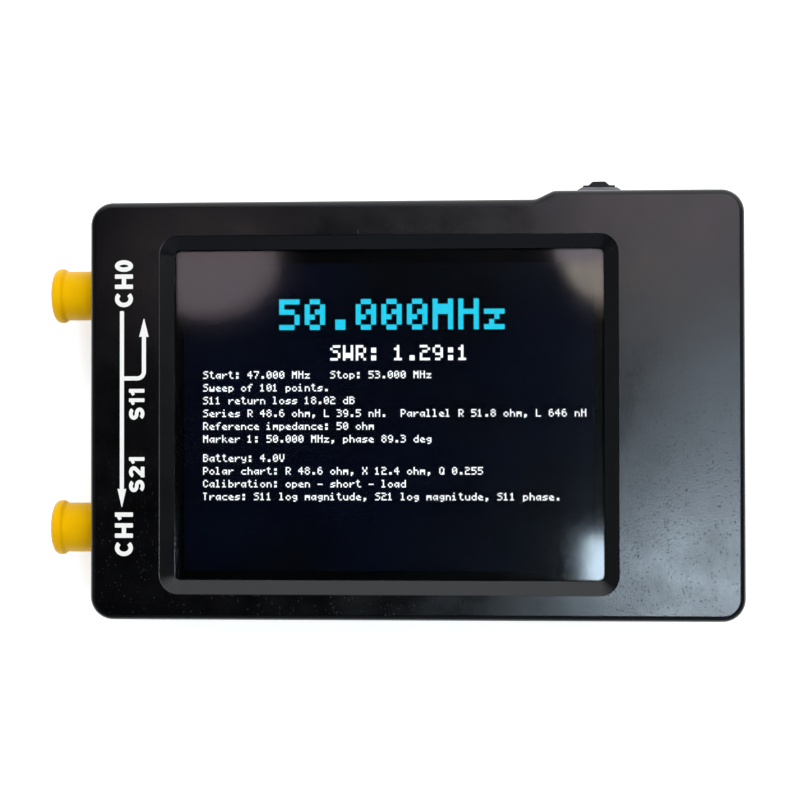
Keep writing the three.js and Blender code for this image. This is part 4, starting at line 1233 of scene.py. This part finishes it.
# A ridge along a helix, to be joined to a round core
def growThread(tree, given):
    radius, turns = given["Radius"], given["Turns"]
    height = put(tree, "ShaderNodeMath", {0: given["Pitch"], 1: turns}, operation="MULTIPLY")[0]
    feeds = {
        "Resolution": given["Steps Per Turn"],
        "Rotations": turns,
        "Start Radius": radius,
        "End Radius": radius,
        "Height": height,
    }
    helix = put(tree, "GeometryNodeCurveSpiral", feeds)[0]
    steady = put(tree, "GeometryNodeSetCurveNormal", {"Curve": helix}, mode="Z_UP")[0]
    feeds = {
        "Height": given["Depth"],
        "Bottom Width": given["Root Width"],
        "Top Width": given["Crest Width"],
        "Offset": 0.0,
    }
    section = put(tree, "GeometryNodeCurvePrimitiveQuadrilateral", feeds, mode="TRAPEZOID")[0]
    feeds = {"Geometry": section, "Rotation": (0, 0, -math.pi / 2)}
    outward = put(tree, "GeometryNodeTransform", feeds)[0]
    feeds = {"Curve": steady, "Profile Curve": outward, "Fill Caps": True}
    return put(tree, "GeometryNodeCurveToMesh", feeds)[0]


threadSizes = ["Radius", "Depth", "Pitch", "Turns", "Root Width", "Crest Width"]
threadTree = growTree(
    "threadRidge", growThread, {**dict.fromkeys(threadSizes, "Float"), "Steps Per Turn": "Int"}
)


# A ridge sunk a little into the core that it will be joined to
def threadRidge(look, start, end):
    ridge = newPiece("ridge", [(0, 0, 0)], [])
    depth = look["crest"] - look["core"] + look["sink"]
    growOn(
        ridge,
        threadTree,
        radius=(look["crest"] - depth / 2) * mm,
        depth=depth * mm,
        pitch=look["pitch"] * mm,
        turns=(end - start) / look["pitch"],
        rootWidth=look["pitch"] * look["rootShare"] * mm,
        crestWidth=look["pitch"] * look["crestShare"] * mm,
        stepsPerTurn=look["threadSteps"],
    )
    ridge.data.transform(Matrix.Translation((0, 0, start * mm)))
    return ridge


def jackBody(index, side):
    look = barrelLook
    length, sides = look["length"], look["sides"]
    half, thick = look["flangeSide"] / 2, look["flangeThickness"]
    profile = [
        (0, -thick / 2, 0),
        (look["core"], -thick / 2, look["footRound"]),
        (look["core"], length, look["endRound"]),
        (0, length, 0),
    ]
    core = turned(f"jackBody{index}", rounded(profile, closed=False, steps=5), sides)
    profile = [
        (0, -thick / 2, 0),
        (look["radius"], -thick / 2, look["footRound"]),
        (look["radius"], look["shoulder"], look["shoulderRound"]),
        (0, look["shoulder"], 0),
    ]
    square = box(-half, -half, half, half, look["flangeCorner"])
    joins = [
        turned("shoulder", rounded(profile, closed=False, steps=4), sides),
        slab("flange", square, -thick, 0, look["flangeEdge"]),
        threadRidge(look, look["threadStart"], length - look["plainEnd"]),
    ]
    leg = look["legSide"]
    for y in (half - leg, -half):
        for x in (boardHigh.z - jackZ, boardLow.z - jackZ - leg):
            joins.append(bar(x, y, -thick - look["legLength"], x + leg, y + leg, -thick / 2))
    carve(core, joins, "UNION")
    flare = look["boreFlare"]
    bore = [
        (0, -thick - overrun),
        (look["bore"], -thick - overrun),
        (look["bore"], length - flare),
        (look["bore"] + flare, length),
        (look["bore"] + flare + overrun, length + overrun),
        (0, length + overrun),
    ]
    carve(core, [turned("bore", bore, look["boreSides"])])
    moved(core, at(jackLow.x + length, side * jackY, jackZ) @ towardsLeft)
    dress(core, goldPlate, "case", [f"jack_body_{index}"], sharpAngle=28)


# A closed profile turned about Z, clear of the axis
def tube(name, profile, sides):
    count = len(profile)
    points, faces = [], []
    for k in range(sides):
        angle = 2 * math.pi * k / sides
        points += [(p.x * math.cos(angle), p.x * math.sin(angle), p.y) for p in profile]
    for k in range(sides):
        n = (k + 1) % sides
        for i in range(count):
            j = (i + 1) % count
            faces.append((k * count + i, n * count + i, n * count + j, k * count + j))
    return newPiece(name, points, faces)


insulatorLook = {"bore": 0.8, "edge": 0.12, "sides": 48}


def jackInsulator(index, side):
    look = insulatorLook
    low, high = nodeBox(f"jack_insulator_{index}")
    length, radius = high.x - low.x, (high.y - low.y) / 2
    corners = box(look["bore"], 0, radius, length, look["edge"])
    sleeve = tube(f"jackInsulator{index}", rounded(corners, steps=3), look["sides"])
    moved(sleeve, at(high.x, side * jackY, jackZ) @ towardsLeft)
    dress(sleeve, fluoropolymer, "case", [f"jack_insulator_{index}"])


# Copies of a piece, evenly round the Z axis
def growRound(tree, given):
    feeds = {"Vertices": given["Count"], "Radius": given["Radius"]}
    ring = put(tree, "GeometryNodeMeshCircle", feeds)[0]
    order = put(tree, "GeometryNodeInputIndex")[0]
    share = put(tree, "ShaderNodeMath", {0: 2 * math.pi, 1: given["Count"]}, operation="DIVIDE")[0]
    angle = put(tree, "ShaderNodeMath", {0: order, 1: share}, operation="MULTIPLY")[0]
    turn = put(tree, "ShaderNodeCombineXYZ", {2: angle})[0]
    feeds = {"Points": ring, "Instance": given["Geometry"], "Rotation": turn}
    return put(tree, "GeometryNodeInstanceOnPoints", feeds)[0]


roundTree = growTree("roundPattern", growRound, {"Count": "Int", "Radius": "Float"})


# Copies of a piece in a straight row
def growRow(tree, given):
    feeds = {"Count": given["Count"], "Start Location": given["Start"], "Offset": given["Step"]}
    row = put(tree, "GeometryNodeMeshLine", feeds, mode="OFFSET")[0]
    return put(tree, "GeometryNodeInstanceOnPoints", {"Points": row, "Instance": given["Geometry"]})[0]


rowTree = growTree("rowPattern", growRow, {"Count": "Int", "Start": "Vector", "Step": "Vector"})

contactLook = {
    "radius": 0.64,
    "bore": 0.42,
    "boreDepth": 2.2,
    "tailRadius": 0.4,
    "tailLength": 3.0,
    "slits": 4,
    "slitWidth": 0.12,
    "slitDepth": 1.8,
    "edge": 0.08,
    "innerRound": 0.02,
    "sides": 40,
}


def jackContact(index, side):
    look = contactLook
    low, high = nodeBox(f"jack_contact_{index}")
    tail, front = look["tailLength"], high.x - low.x
    boreEnd = front - look["boreDepth"]
    profile = [
        (0, 0, 0),
        (look["tailRadius"], 0, look["edge"]),
        (look["tailRadius"], tail, look["innerRound"]),
        (look["radius"], tail, look["edge"]),
        (look["radius"], front, look["edge"]),
        (look["bore"], front, look["edge"]),
        (look["bore"], boreEnd, look["innerRound"]),
        (0, boreEnd, 0),
    ]
    pin = turned(f"jackContact{index}", rounded(profile, closed=False, steps=3), look["sides"])
    half = look["slitWidth"] / 2
    slit = bar(0, -half, front - look["slitDepth"], look["radius"] + overrun, half, front + overrun)
    growOn(slit, roundTree, count=look["slits"], radius=look["bore"] / 2 * mm)
    carve(pin, [slit])
    moved(pin, at(high.x, side * jackY, jackZ) @ towardsLeft)
    dress(pin, goldPlate, "case", [f"jack_contact_{index}"])


for index, side in enumerate((1, -1)):
    jackBody(index, side)
    jackInsulator(index, side)
    jackContact(index, side)

# USB socket

usbLook = {
    "sheet": 0.3,
    "mouthRound": 0.1,
    "tongueWidth": 6.7,
    "tongueHeight": 0.7,
    "tongueLength": 4.6,
    "tongueCorner": 0.12,
    "tongueEdge": 0.1,
    "backLength": 1.6,
    "padCount": 12,
    "padPitch": 0.5,
    "padWidth": 0.26,
    "padLength": 3.2,
    "padStart": 0.3,
    "padRise": 0.03,
}


def usbRing(grow, height):
    halfX = (usbHigh.x - usbLow.x) / 2 + grow
    halfZ = (usbHigh.z - usbLow.z) / 2 + grow
    return rounded(box(-halfX, -halfZ, halfX, halfZ, halfZ - hair), steps=12), height


def usbSocket():
    look = usbLook
    length = usbHigh.y - usbLow.y
    place = at(usbX, usbLow.y, usbZ) @ towardsTop
    edge, sheet = look["mouthRound"], look["sheet"]
    mouth = usbRing(-edge / 2, length)
    rings = [usbRing(-edge, 0), usbRing(0, edge), usbRing(0, length - edge), mouth]
    shell = loft("usbShell", rings, place)
    rings = [usbRing(-sheet, sheet), usbRing(-sheet, length - edge), mouth]
    rings.append(usbRing(-edge / 2, length + overrun))
    carve(shell, [loft("room", rings, place)])
    dress(shell, nickelSheet, "case", ["usb_shell"])

    low, high = nodeBox("usb_insert")
    halfX, halfZ = look["tongueWidth"] / 2, look["tongueHeight"] / 2
    depth = low.y - usbLow.y
    inset = (usbHigh.x - usbLow.x - high.x + low.x) / 2
    backEnd = depth + look["backLength"]
    back = loft("usbInsert", [usbRing(-inset, depth), usbRing(-inset, backEnd)], place)
    corners = box(-halfX, -halfZ, halfX, halfZ, look["tongueCorner"])
    tongueStart, tongueEnd = depth + look["backLength"] / 2, backEnd + look["tongueLength"]
    tongue = slab("tongue", corners, tongueStart, tongueEnd, look["tongueEdge"], place)
    carve(back, [tongue], "UNION")
    dress(back, blackMoulding, "case", ["usb_insert"])

    rows = []
    start, half, rise = backEnd + look["padStart"], look["padWidth"] / 2, look["padRise"]
    first = -(look["padCount"] - 1) / 2 * look["padPitch"] * mm
    step = (look["padPitch"] * mm, 0, 0)
    for z in (-halfZ, halfZ):
        pad = bar(-half, z - rise, start, half, z + rise, start + look["padLength"])
        rows.append(growOn(pad, rowTree, count=look["padCount"], start=(first, 0, 0), step=step))
    contacts = moved(joined("usbContacts", rows), place)
    dress(contacts, goldPlate, "case")


usbSocket()

# Jog lever, and its sheet-metal housing with two noses through the wall and a slot between them

leverLook = {
    "neckHalf": 0.8,
    "neckRound": 0.8,
    "fanHalf": 1.6,
    "fanRound": 1.0,
    "shoulderHalf": 2.3,
    "shoulderLength": 0.5,
    "shoulderRound": 0.12,
    "tipRound": 0.14,
    "ridgeBaseHalf": 1.5,
    "ridgeHalf": 0.9,
    "ridgeHeight": 0.54,
    "ridgeRound": 0.24,
    "rootRound": 0.1,
    "pastNose": 0.2,
    "hubRadius": 1.1,
    "hubBore": 0.65,
    "boreSides": 32,
    "edge": 0.09,
}
carrierLow, carrierHigh = nodeBox("jog_carrier")
pivotY = (carrierLow.y + carrierHigh.y) / 2


def jogLever():
    look = leverLook
    tip = leverHigh.y - look["ridgeHeight"]
    side = [
        (look["neckHalf"], pivotY + look["hubRadius"] / 2, look["rootRound"]),
        (look["neckHalf"], outerTop - caseLook["sideWall"], look["neckRound"]),
        (look["fanHalf"], outerTop + look["pastNose"], look["fanRound"]),
        (look["shoulderHalf"], tip - look["shoulderLength"], look["shoulderRound"]),
        (look["shoulderHalf"], tip, look["tipRound"]),
        (look["ridgeBaseHalf"], tip, look["rootRound"]),
        (look["ridgeHalf"], leverHigh.y, look["ridgeRound"]),
    ]
    right = [(jogX + x, y, r) for x, y, r in side]
    left = [(jogX - x, y, r) for x, y, r in reversed(side)]
    low, high = leverLow.z, leverHigh.z
    lever = slab("jogLever", right + left, low, high, look["edge"])
    carve(lever, [roundPost(look["hubRadius"], low, high, jogX, pivotY)], "UNION")
    bore = roundPost(look["hubBore"], low - overrun, high + overrun, jogX, pivotY, look["boreSides"])
    carve(lever, [bore])
    dress(lever, controlNylon, "jog_arm", ["jog_lever"])


def jogHousing():
    look = noseLook
    half, sheet, wall = (jogHigh.x - jogLow.x) / 2, look["sheet"], look["sideWall"]
    front = outerTop - caseLook["sideWall"] - look["wallGap"]
    slotLow, slotHigh = noseZ - look["slot"] / 2, noseZ + look["slot"] / 2
    corners = box(jogX - half, jogLow.y, jogX + half, front, look["bodyCorner"])
    body = slab("jogHousing", corners, jogLow.z, jogHigh.z, look["bodyEdge"])
    tip = jogHigh.y - look["pullBack"]
    nose = [
        (jogX - look["halfWidth"], front - sheet, look["rootRound"]),
        (jogX + look["halfWidth"], front - sheet, look["rootRound"]),
        (jogX + look["halfWidth"], tip - look["chamfer"], look["noseRound"]),
        (jogX + look["tipHalfWidth"], tip, look["noseRound"]),
        (jogX - look["tipHalfWidth"], tip, look["noseRound"]),
        (jogX - look["halfWidth"], tip - look["chamfer"], look["noseRound"]),
    ]
    upper = slab("nose", nose, slotHigh, slotHigh + sheet, look["noseEdge"])
    lower = slab("nose", nose, slotLow - sheet, slotLow, look["noseEdge"])
    carve(body, [upper, lower], "UNION")
    left, right = jogX - half + wall, jogX + half - wall
    carve(body, [bar(left, jogLow.y + wall, slotLow, right, front + overrun, slotHigh)])
    dress(body, dullSheet, "case", ["jog_housing"])


jogHousing()
jogLever()

# Power switch knob with grip ribs on its end


def powerKnob():
    look = knobLook
    low, depth, middle = knobLow.x, look["baseDepth"], (knobLow.y + knobHigh.y) / 2
    halfBase, half, halfHeight = look["baseWidth"] / 2, look["width"] / 2, look["height"] / 2
    end = knobHigh.x - look["ribRadius"]
    base = bar(low, middle - halfBase, knobLow.z, low + depth, middle + halfBase, knobHigh.z)
    corners = box(-halfHeight, -half, halfHeight, half, look["corner"])
    stem = slab("powerKnob", corners, 0, end - low, look["edge"], at(low, middle, knobZ) @ towardsRight)
    radius = look["ribRadius"]
    rib = turned("rib", [(0, 0), (radius, 0), (radius, 1), (0, 1)], look["ribSides"])
    ribLength = look["height"] - look["ribShort"]
    rib.data.transform(Matrix.Diagonal((1, 1, ribLength, 1)))
    moved(rib, at(end, 0, knobZ - ribLength / 2))
    first = middle - (look["ribs"] - 1) / 2 * look["ribPitch"]
    growOn(rib, rowTree, count=look["ribs"], start=(0, first * mm, 0), step=(0, look["ribPitch"] * mm, 0))
    carve(stem, [base, rib], "UNION")
    dress(stem, controlNylon, "power_knob", ["power_slider"])


powerKnob()

# Screws of the rear face

screwLook = {
    "headRadius": 1.7,
    "headHeight": 1.3,
    "headCrown": 0.32,
    "rimRound": 0.06,
    "core": 0.84,
    "coreRound": 0.1,
    "tipRound": 0.08,
    "crest": 1.0,
    "sink": 0.05,
    "pitch": 0.8,
    "rootShare": 0.86,
    "crestShare": 0.12,
    "threadSteps": 20,
    "crossHalfLength": 0.95,
    "crossHalfWidth": 0.24,
    "crossRound": 0.05,
    "crossFlare": 0.05,
    "crossNeck": 0.01,
    "crossTaper": 0.12,
    "crossDepth": 0.8,
    "sides": 40,
    "turnSeed": 4,  # each head is left at another angle by the driver
}


def growScrews(tree, given):
    feeds = {"Size X": given["Spacing X"], "Size Y": given["Spacing Y"], "Vertices X": 2, "Vertices Y": 2}
    grid = put(tree, "GeometryNodeMeshGrid", feeds)[0]
    feeds = {2: 0.0, 3: math.pi, "Seed": given["Seed"]}
    draw = put(tree, "FunctionNodeRandomValue", feeds, data_type="FLOAT")[1]
    turn = put(tree, "ShaderNodeCombineXYZ", {2: draw})[0]
    feeds = {"Points": grid, "Instance": given["Geometry"], "Rotation": turn}
    return put(tree, "GeometryNodeInstanceOnPoints", feeds)[0]


screwInputs = {"Spacing X": "Float", "Spacing Y": "Float", "Seed": "Int"}
screwTree = growTree("screwPattern", growScrews, screwInputs)


# One screw standing on its head in the middle, with its thread and its cross, then one at each boss
def caseScrews():
    look = screwLook
    head, reach = look["headHeight"], screwHigh.z - screwLow.z - look["headHeight"]
    core = look["core"]
    profile = [
        (0, -head, 0),
        (look["headRadius"], -head, look["headCrown"]),
        (look["headRadius"], 0, look["rimRound"]),
        (core, 0, look["coreRound"]),
        (core, reach - core, look["coreRound"]),
        (core / 3, reach, look["tipRound"]),
        (0, reach, 0),
    ]
    screw = turned("caseScrews", rounded(profile, closed=False, steps=4), look["sides"])
    carve(screw, [threadRidge(look, look["pitch"], reach - 2 * core)], "UNION")
    a, b, flare = look["crossHalfLength"], look["crossHalfWidth"], look["crossFlare"]
    arm, corners = [(-b, -a), (b, -a), (b, -b)], []
    for quarter in range(4):
        corners += [(x, y, look["crossRound"]) for x, y in arm]
        arm = [(-y, x) for x, y in arm]
    rings = [
        (rounded(corners, -flare, steps=2), -head - 2 * flare),
        (rounded(corners, look["crossNeck"], steps=2), -head + flare),
        (rounded(corners, look["crossTaper"], steps=2), -head + look["crossDepth"]),
    ]
    carve(screw, [loft("cross", rings)])
    growOn(screw, screwTree, spacingX=2 * bossX * mm, spacingY=2 * bossY * mm, seed=look["turnSeed"])
    moved(screw, at(0, 0, screwLow.z + head))
    dress(screw, blackZinc, "case", [f"case_screw_{i}" for i in (1, 2, 3, 4)])


caseScrews()

# Pieces whose shape stays as the frame has it
innerFinishes = [
    (whiteNylon, ["backlight_tray", "battery_header", "battery_plug"]),
    (foamTape, ["window_gasket", "foam_strip_left", "foam_strip_right", "battery_tape"]),
    (amberFilm, ["screen_flex"]),
    (solderMask, ["main_board"]),
    (blackZinc, [f"board_screw_{i}" for i in (1, 2, 3, 4)]),
    (nickelSheet, [f"shield_can_{i}" for i in (1, 2, 3)]),
    (nickelSheet, ["crystal", "reference_oscillator", "power_housing"]),
    (chipEpoxy, [f"mixer_chip_{i}" for i in (1, 2, 3)]),
    (chipEpoxy, ["processor_chip", "codec_chip", "clock_chip", "charger_chip", "regulator_chip"]),
    (lampResin, ["power_lamp", "charge_lamp"]),
    (pouchFoil, ["battery"]),
    (redSilicone, ["battery_lead_red"]),
    (blackSilicone, ["battery_lead_black"]),
    (controlNylon, ["jog_carrier"]),
]
for finish, names in innerFinishes:
    for name in names:
        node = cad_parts[name]
        if not node.material_slots:
            node.data.materials.append(finish)
        for slot in node.material_slots:
            slot.material = finish
print("inner pieces finished")

# Room

roomLook = {
    "floor": "#f4f4f3",
    "floorRoughness": 0.9,
    "floorGlow": 0.52,
    "floorSide": 3000.0,
    "floorDrop": 0.05,  # just under the object, so that the two faces don't flicker
    "dayColour": "#ffffff",
    "dayStrength": 0.62,
    "skyColour": "#08090c",
}

# What a gleam mirrors round the object: soft glows, each with its way, its full and outer angle in
# degrees, its colour and its strength
gleamLook = {
    "top": {"towards": (0.3, 1, 0.25), "full": 25, "outer": 70, "colour": "#f8fbff", "strength": 1.25},
    "right": {"towards": (1, 0, 0.25), "full": 20, "outer": 60, "colour": "#dfe6f2", "strength": 0.14},
    "left": {"towards": (-1, 0, 0.25), "full": 20, "outer": 60, "colour": "#dfe6f2", "strength": 0.2},
    "bottom": {
        "towards": (0.35, -1, 0.25), "full": 20, "outer": 60, "colour": "#d2def2", "strength": 0.3,
    },
}


# Pale, and lit up a little where it is seen, mirrored or seen through glass
def floorFinish(look):
    made, tree, shader, place = startFinish("paleFloor", look["floor"], look["floorRoughness"])
    path = put(tree, "ShaderNodeLightPath")
    seen = path["Is Camera Ray"]
    for ray in ("Is Glossy Ray", "Is Transmission Ray"):
        seen = put(tree, "ShaderNodeMath", {0: seen, 1: path[ray]}, operation="MAXIMUM")[0]
    glow = put(tree, "ShaderNodeMath", {0: seen, 1: look["floorGlow"]}, operation="MULTIPLY")[0]
    fill(tree, shader, {"Emission Color": (1, 1, 1, 1), "Emission Strength": glow})
    return made


def room():
    look = roomLook
    half = look["floorSide"] / 2
    corners = [(x, y, -look["floorDrop"]) for x, y, r in box(-half, -half, half, half, 0)]
    ground = newPiece("floor", corners, [(0, 1, 2, 3)])
    ground.data.materials.append(floorFinish(look))


# White to the camera, soft daylight to matt surfaces, and a dark sky with the glows above to a gleam
def daylight():
    look = roomLook
    world = bpy.data.worlds.new("daylight")
    world.use_nodes = True
    tree = world.node_tree
    tree.nodes.clear()
    path = put(tree, "ShaderNodeLightPath")
    way = put(tree, "ShaderNodeTexCoord")["Generated"]
    gleam = linear(look["skyColour"])[:3]
    for glow in gleamLook.values():
        towards = Vector(glow["towards"]).normalized()
        cosine = put(tree, "ShaderNodeVectorMath", {0: way, 1: towards}, operation="DOT_PRODUCT")["Value"]
        outer, full = math.cos(math.radians(glow["outer"])), math.cos(math.radians(glow["full"]))
        feeds = {"Value": cosine, "From Min": outer, "From Max": full, "To Max": glow["strength"]}
        share = put(tree, "ShaderNodeMapRange", feeds)[0]
        feeds = {0: linear(glow["colour"])[:3], "Scale": share}
        lit = put(tree, "ShaderNodeVectorMath", feeds, operation="SCALE")[0]
        gleam = put(tree, "ShaderNodeVectorMath", {0: gleam, 1: lit}, operation="ADD")[0]
    day = [c * look["dayStrength"] for c in linear(look["dayColour"])[:3]] + [1]
    feeds = {0: path["Is Glossy Ray"], 1: path["Is Transmission Ray"]}
    mirrored = put(tree, "ShaderNodeMath", feeds, operation="MAXIMUM")[0]
    light = put(tree, "ShaderNodeMix", {"Factor": mirrored, 6: day, 7: gleam}, data_type="RGBA")[2]
    feeds = {"Factor": path["Is Camera Ray"], 6: light, 7: (1, 1, 1, 1)}
    light = put(tree, "ShaderNodeMix", feeds, data_type="RGBA")[2]
    back = put(tree, "ShaderNodeBackground", {"Color": light, "Strength": 1.0})[0]
    put(tree, "ShaderNodeOutputWorld", {"Surface": back})
    bpy.context.scene.world = world


# Panels of light. Each has its middle and its sides in millimetres, its colour, and its brightness in
# watts to the square metre and steradian. They face down, or towards the object where they are aimed; one
# that is unmirrored lights matt surfaces only.
lampLook = {
    "window": {
        "place": (72.5, -55.4, 400), "sides": (66.6, 29.5), "colour": "#d7eeff", "brightness": 14.9,
    },
    "pane": {
        "place": (90, -64, 400), "sides": (26, 24), "colour": "#e4f2ff", "brightness": 66.0, "oval": True,
    },
    "roomRight": {
        "place": (130.3, -22.6, 400), "sides": (127.2, 101), "colour": "#d9edff", "brightness": 4.5,
    },
    "cornerRight": {
        "place": (118, 140, 400), "sides": (178, 172), "colour": "#fff0ff", "brightness": 1.85,
    },
    "shelf": {
        "place": (63, 54, 400), "sides": (62, 34), "colour": "#fff0e2", "brightness": 2.9, "oval": True,
    },
    "cornerLeft": {
        "place": (-92, 55, 400), "sides": (50, 38), "colour": "#ffebf4", "brightness": 1.35, "oval": True,
    },
    "topMiddle": {
        "place": (-4.3, 115, 400), "sides": (100.5, 75.3), "colour": "#f5f7ff", "brightness": 0.7,
    },
    "topSide": {
        "place": (30, 380, 380), "sides": (600, 160), "colour": "#ffffff", "brightness": 4.2,
        "aimed": True, "unmirrored": True,
    },
}


def lamps():
    for name, look in lampLook.items():
        data = bpy.data.lights.new(name, "AREA")
        data.shape = "ELLIPSE" if look.get("oval") else "RECTANGLE"
        data.size, data.size_y = look["sides"][0] * mm, look["sides"][1] * mm
        data.color = linear(look["colour"])[:3]
        area = data.size * data.size_y * (math.pi / 4 if look.get("oval") else 1)
        data.energy = look["brightness"] * math.pi * area
        lamp = bpy.data.objects.new(name, data)
        lamp.location = Vector(look["place"]) * mm
        if look.get("aimed"):
            lamp.rotation_euler = (-lamp.location).to_track_quat("-Z", "Y").to_euler()
        lamp.visible_glossy = not look.get("unmirrored")
        bpy.context.scene.collection.objects.link(lamp)


# A pinhole camera where the photographer's was; place in millimetres, turn in radians
cameraLook = {
    "place": (13.21, -2.3, 277.0),
    "turn": (0.0142, 0.0585, -0.0014),
    "lens": 84.58,
    "sensor": 36.0,
    "near": 10.0,
    "far": 10000.0,
}


def camera():
    look = cameraLook
    data = bpy.data.cameras.new("camera")
    data.lens = look["lens"]
    data.sensor_width = look["sensor"]
    data.clip_start = look["near"] * mm
    data.clip_end = look["far"] * mm
    eye = bpy.data.objects.new("camera", data)
    eye.location = Vector(look["place"]) * mm
    eye.rotation_euler = look["turn"]
    bpy.context.scene.collection.objects.link(eye)
    bpy.context.scene.camera = eye


room()
daylight()
lamps()
camera()
print("room ready")
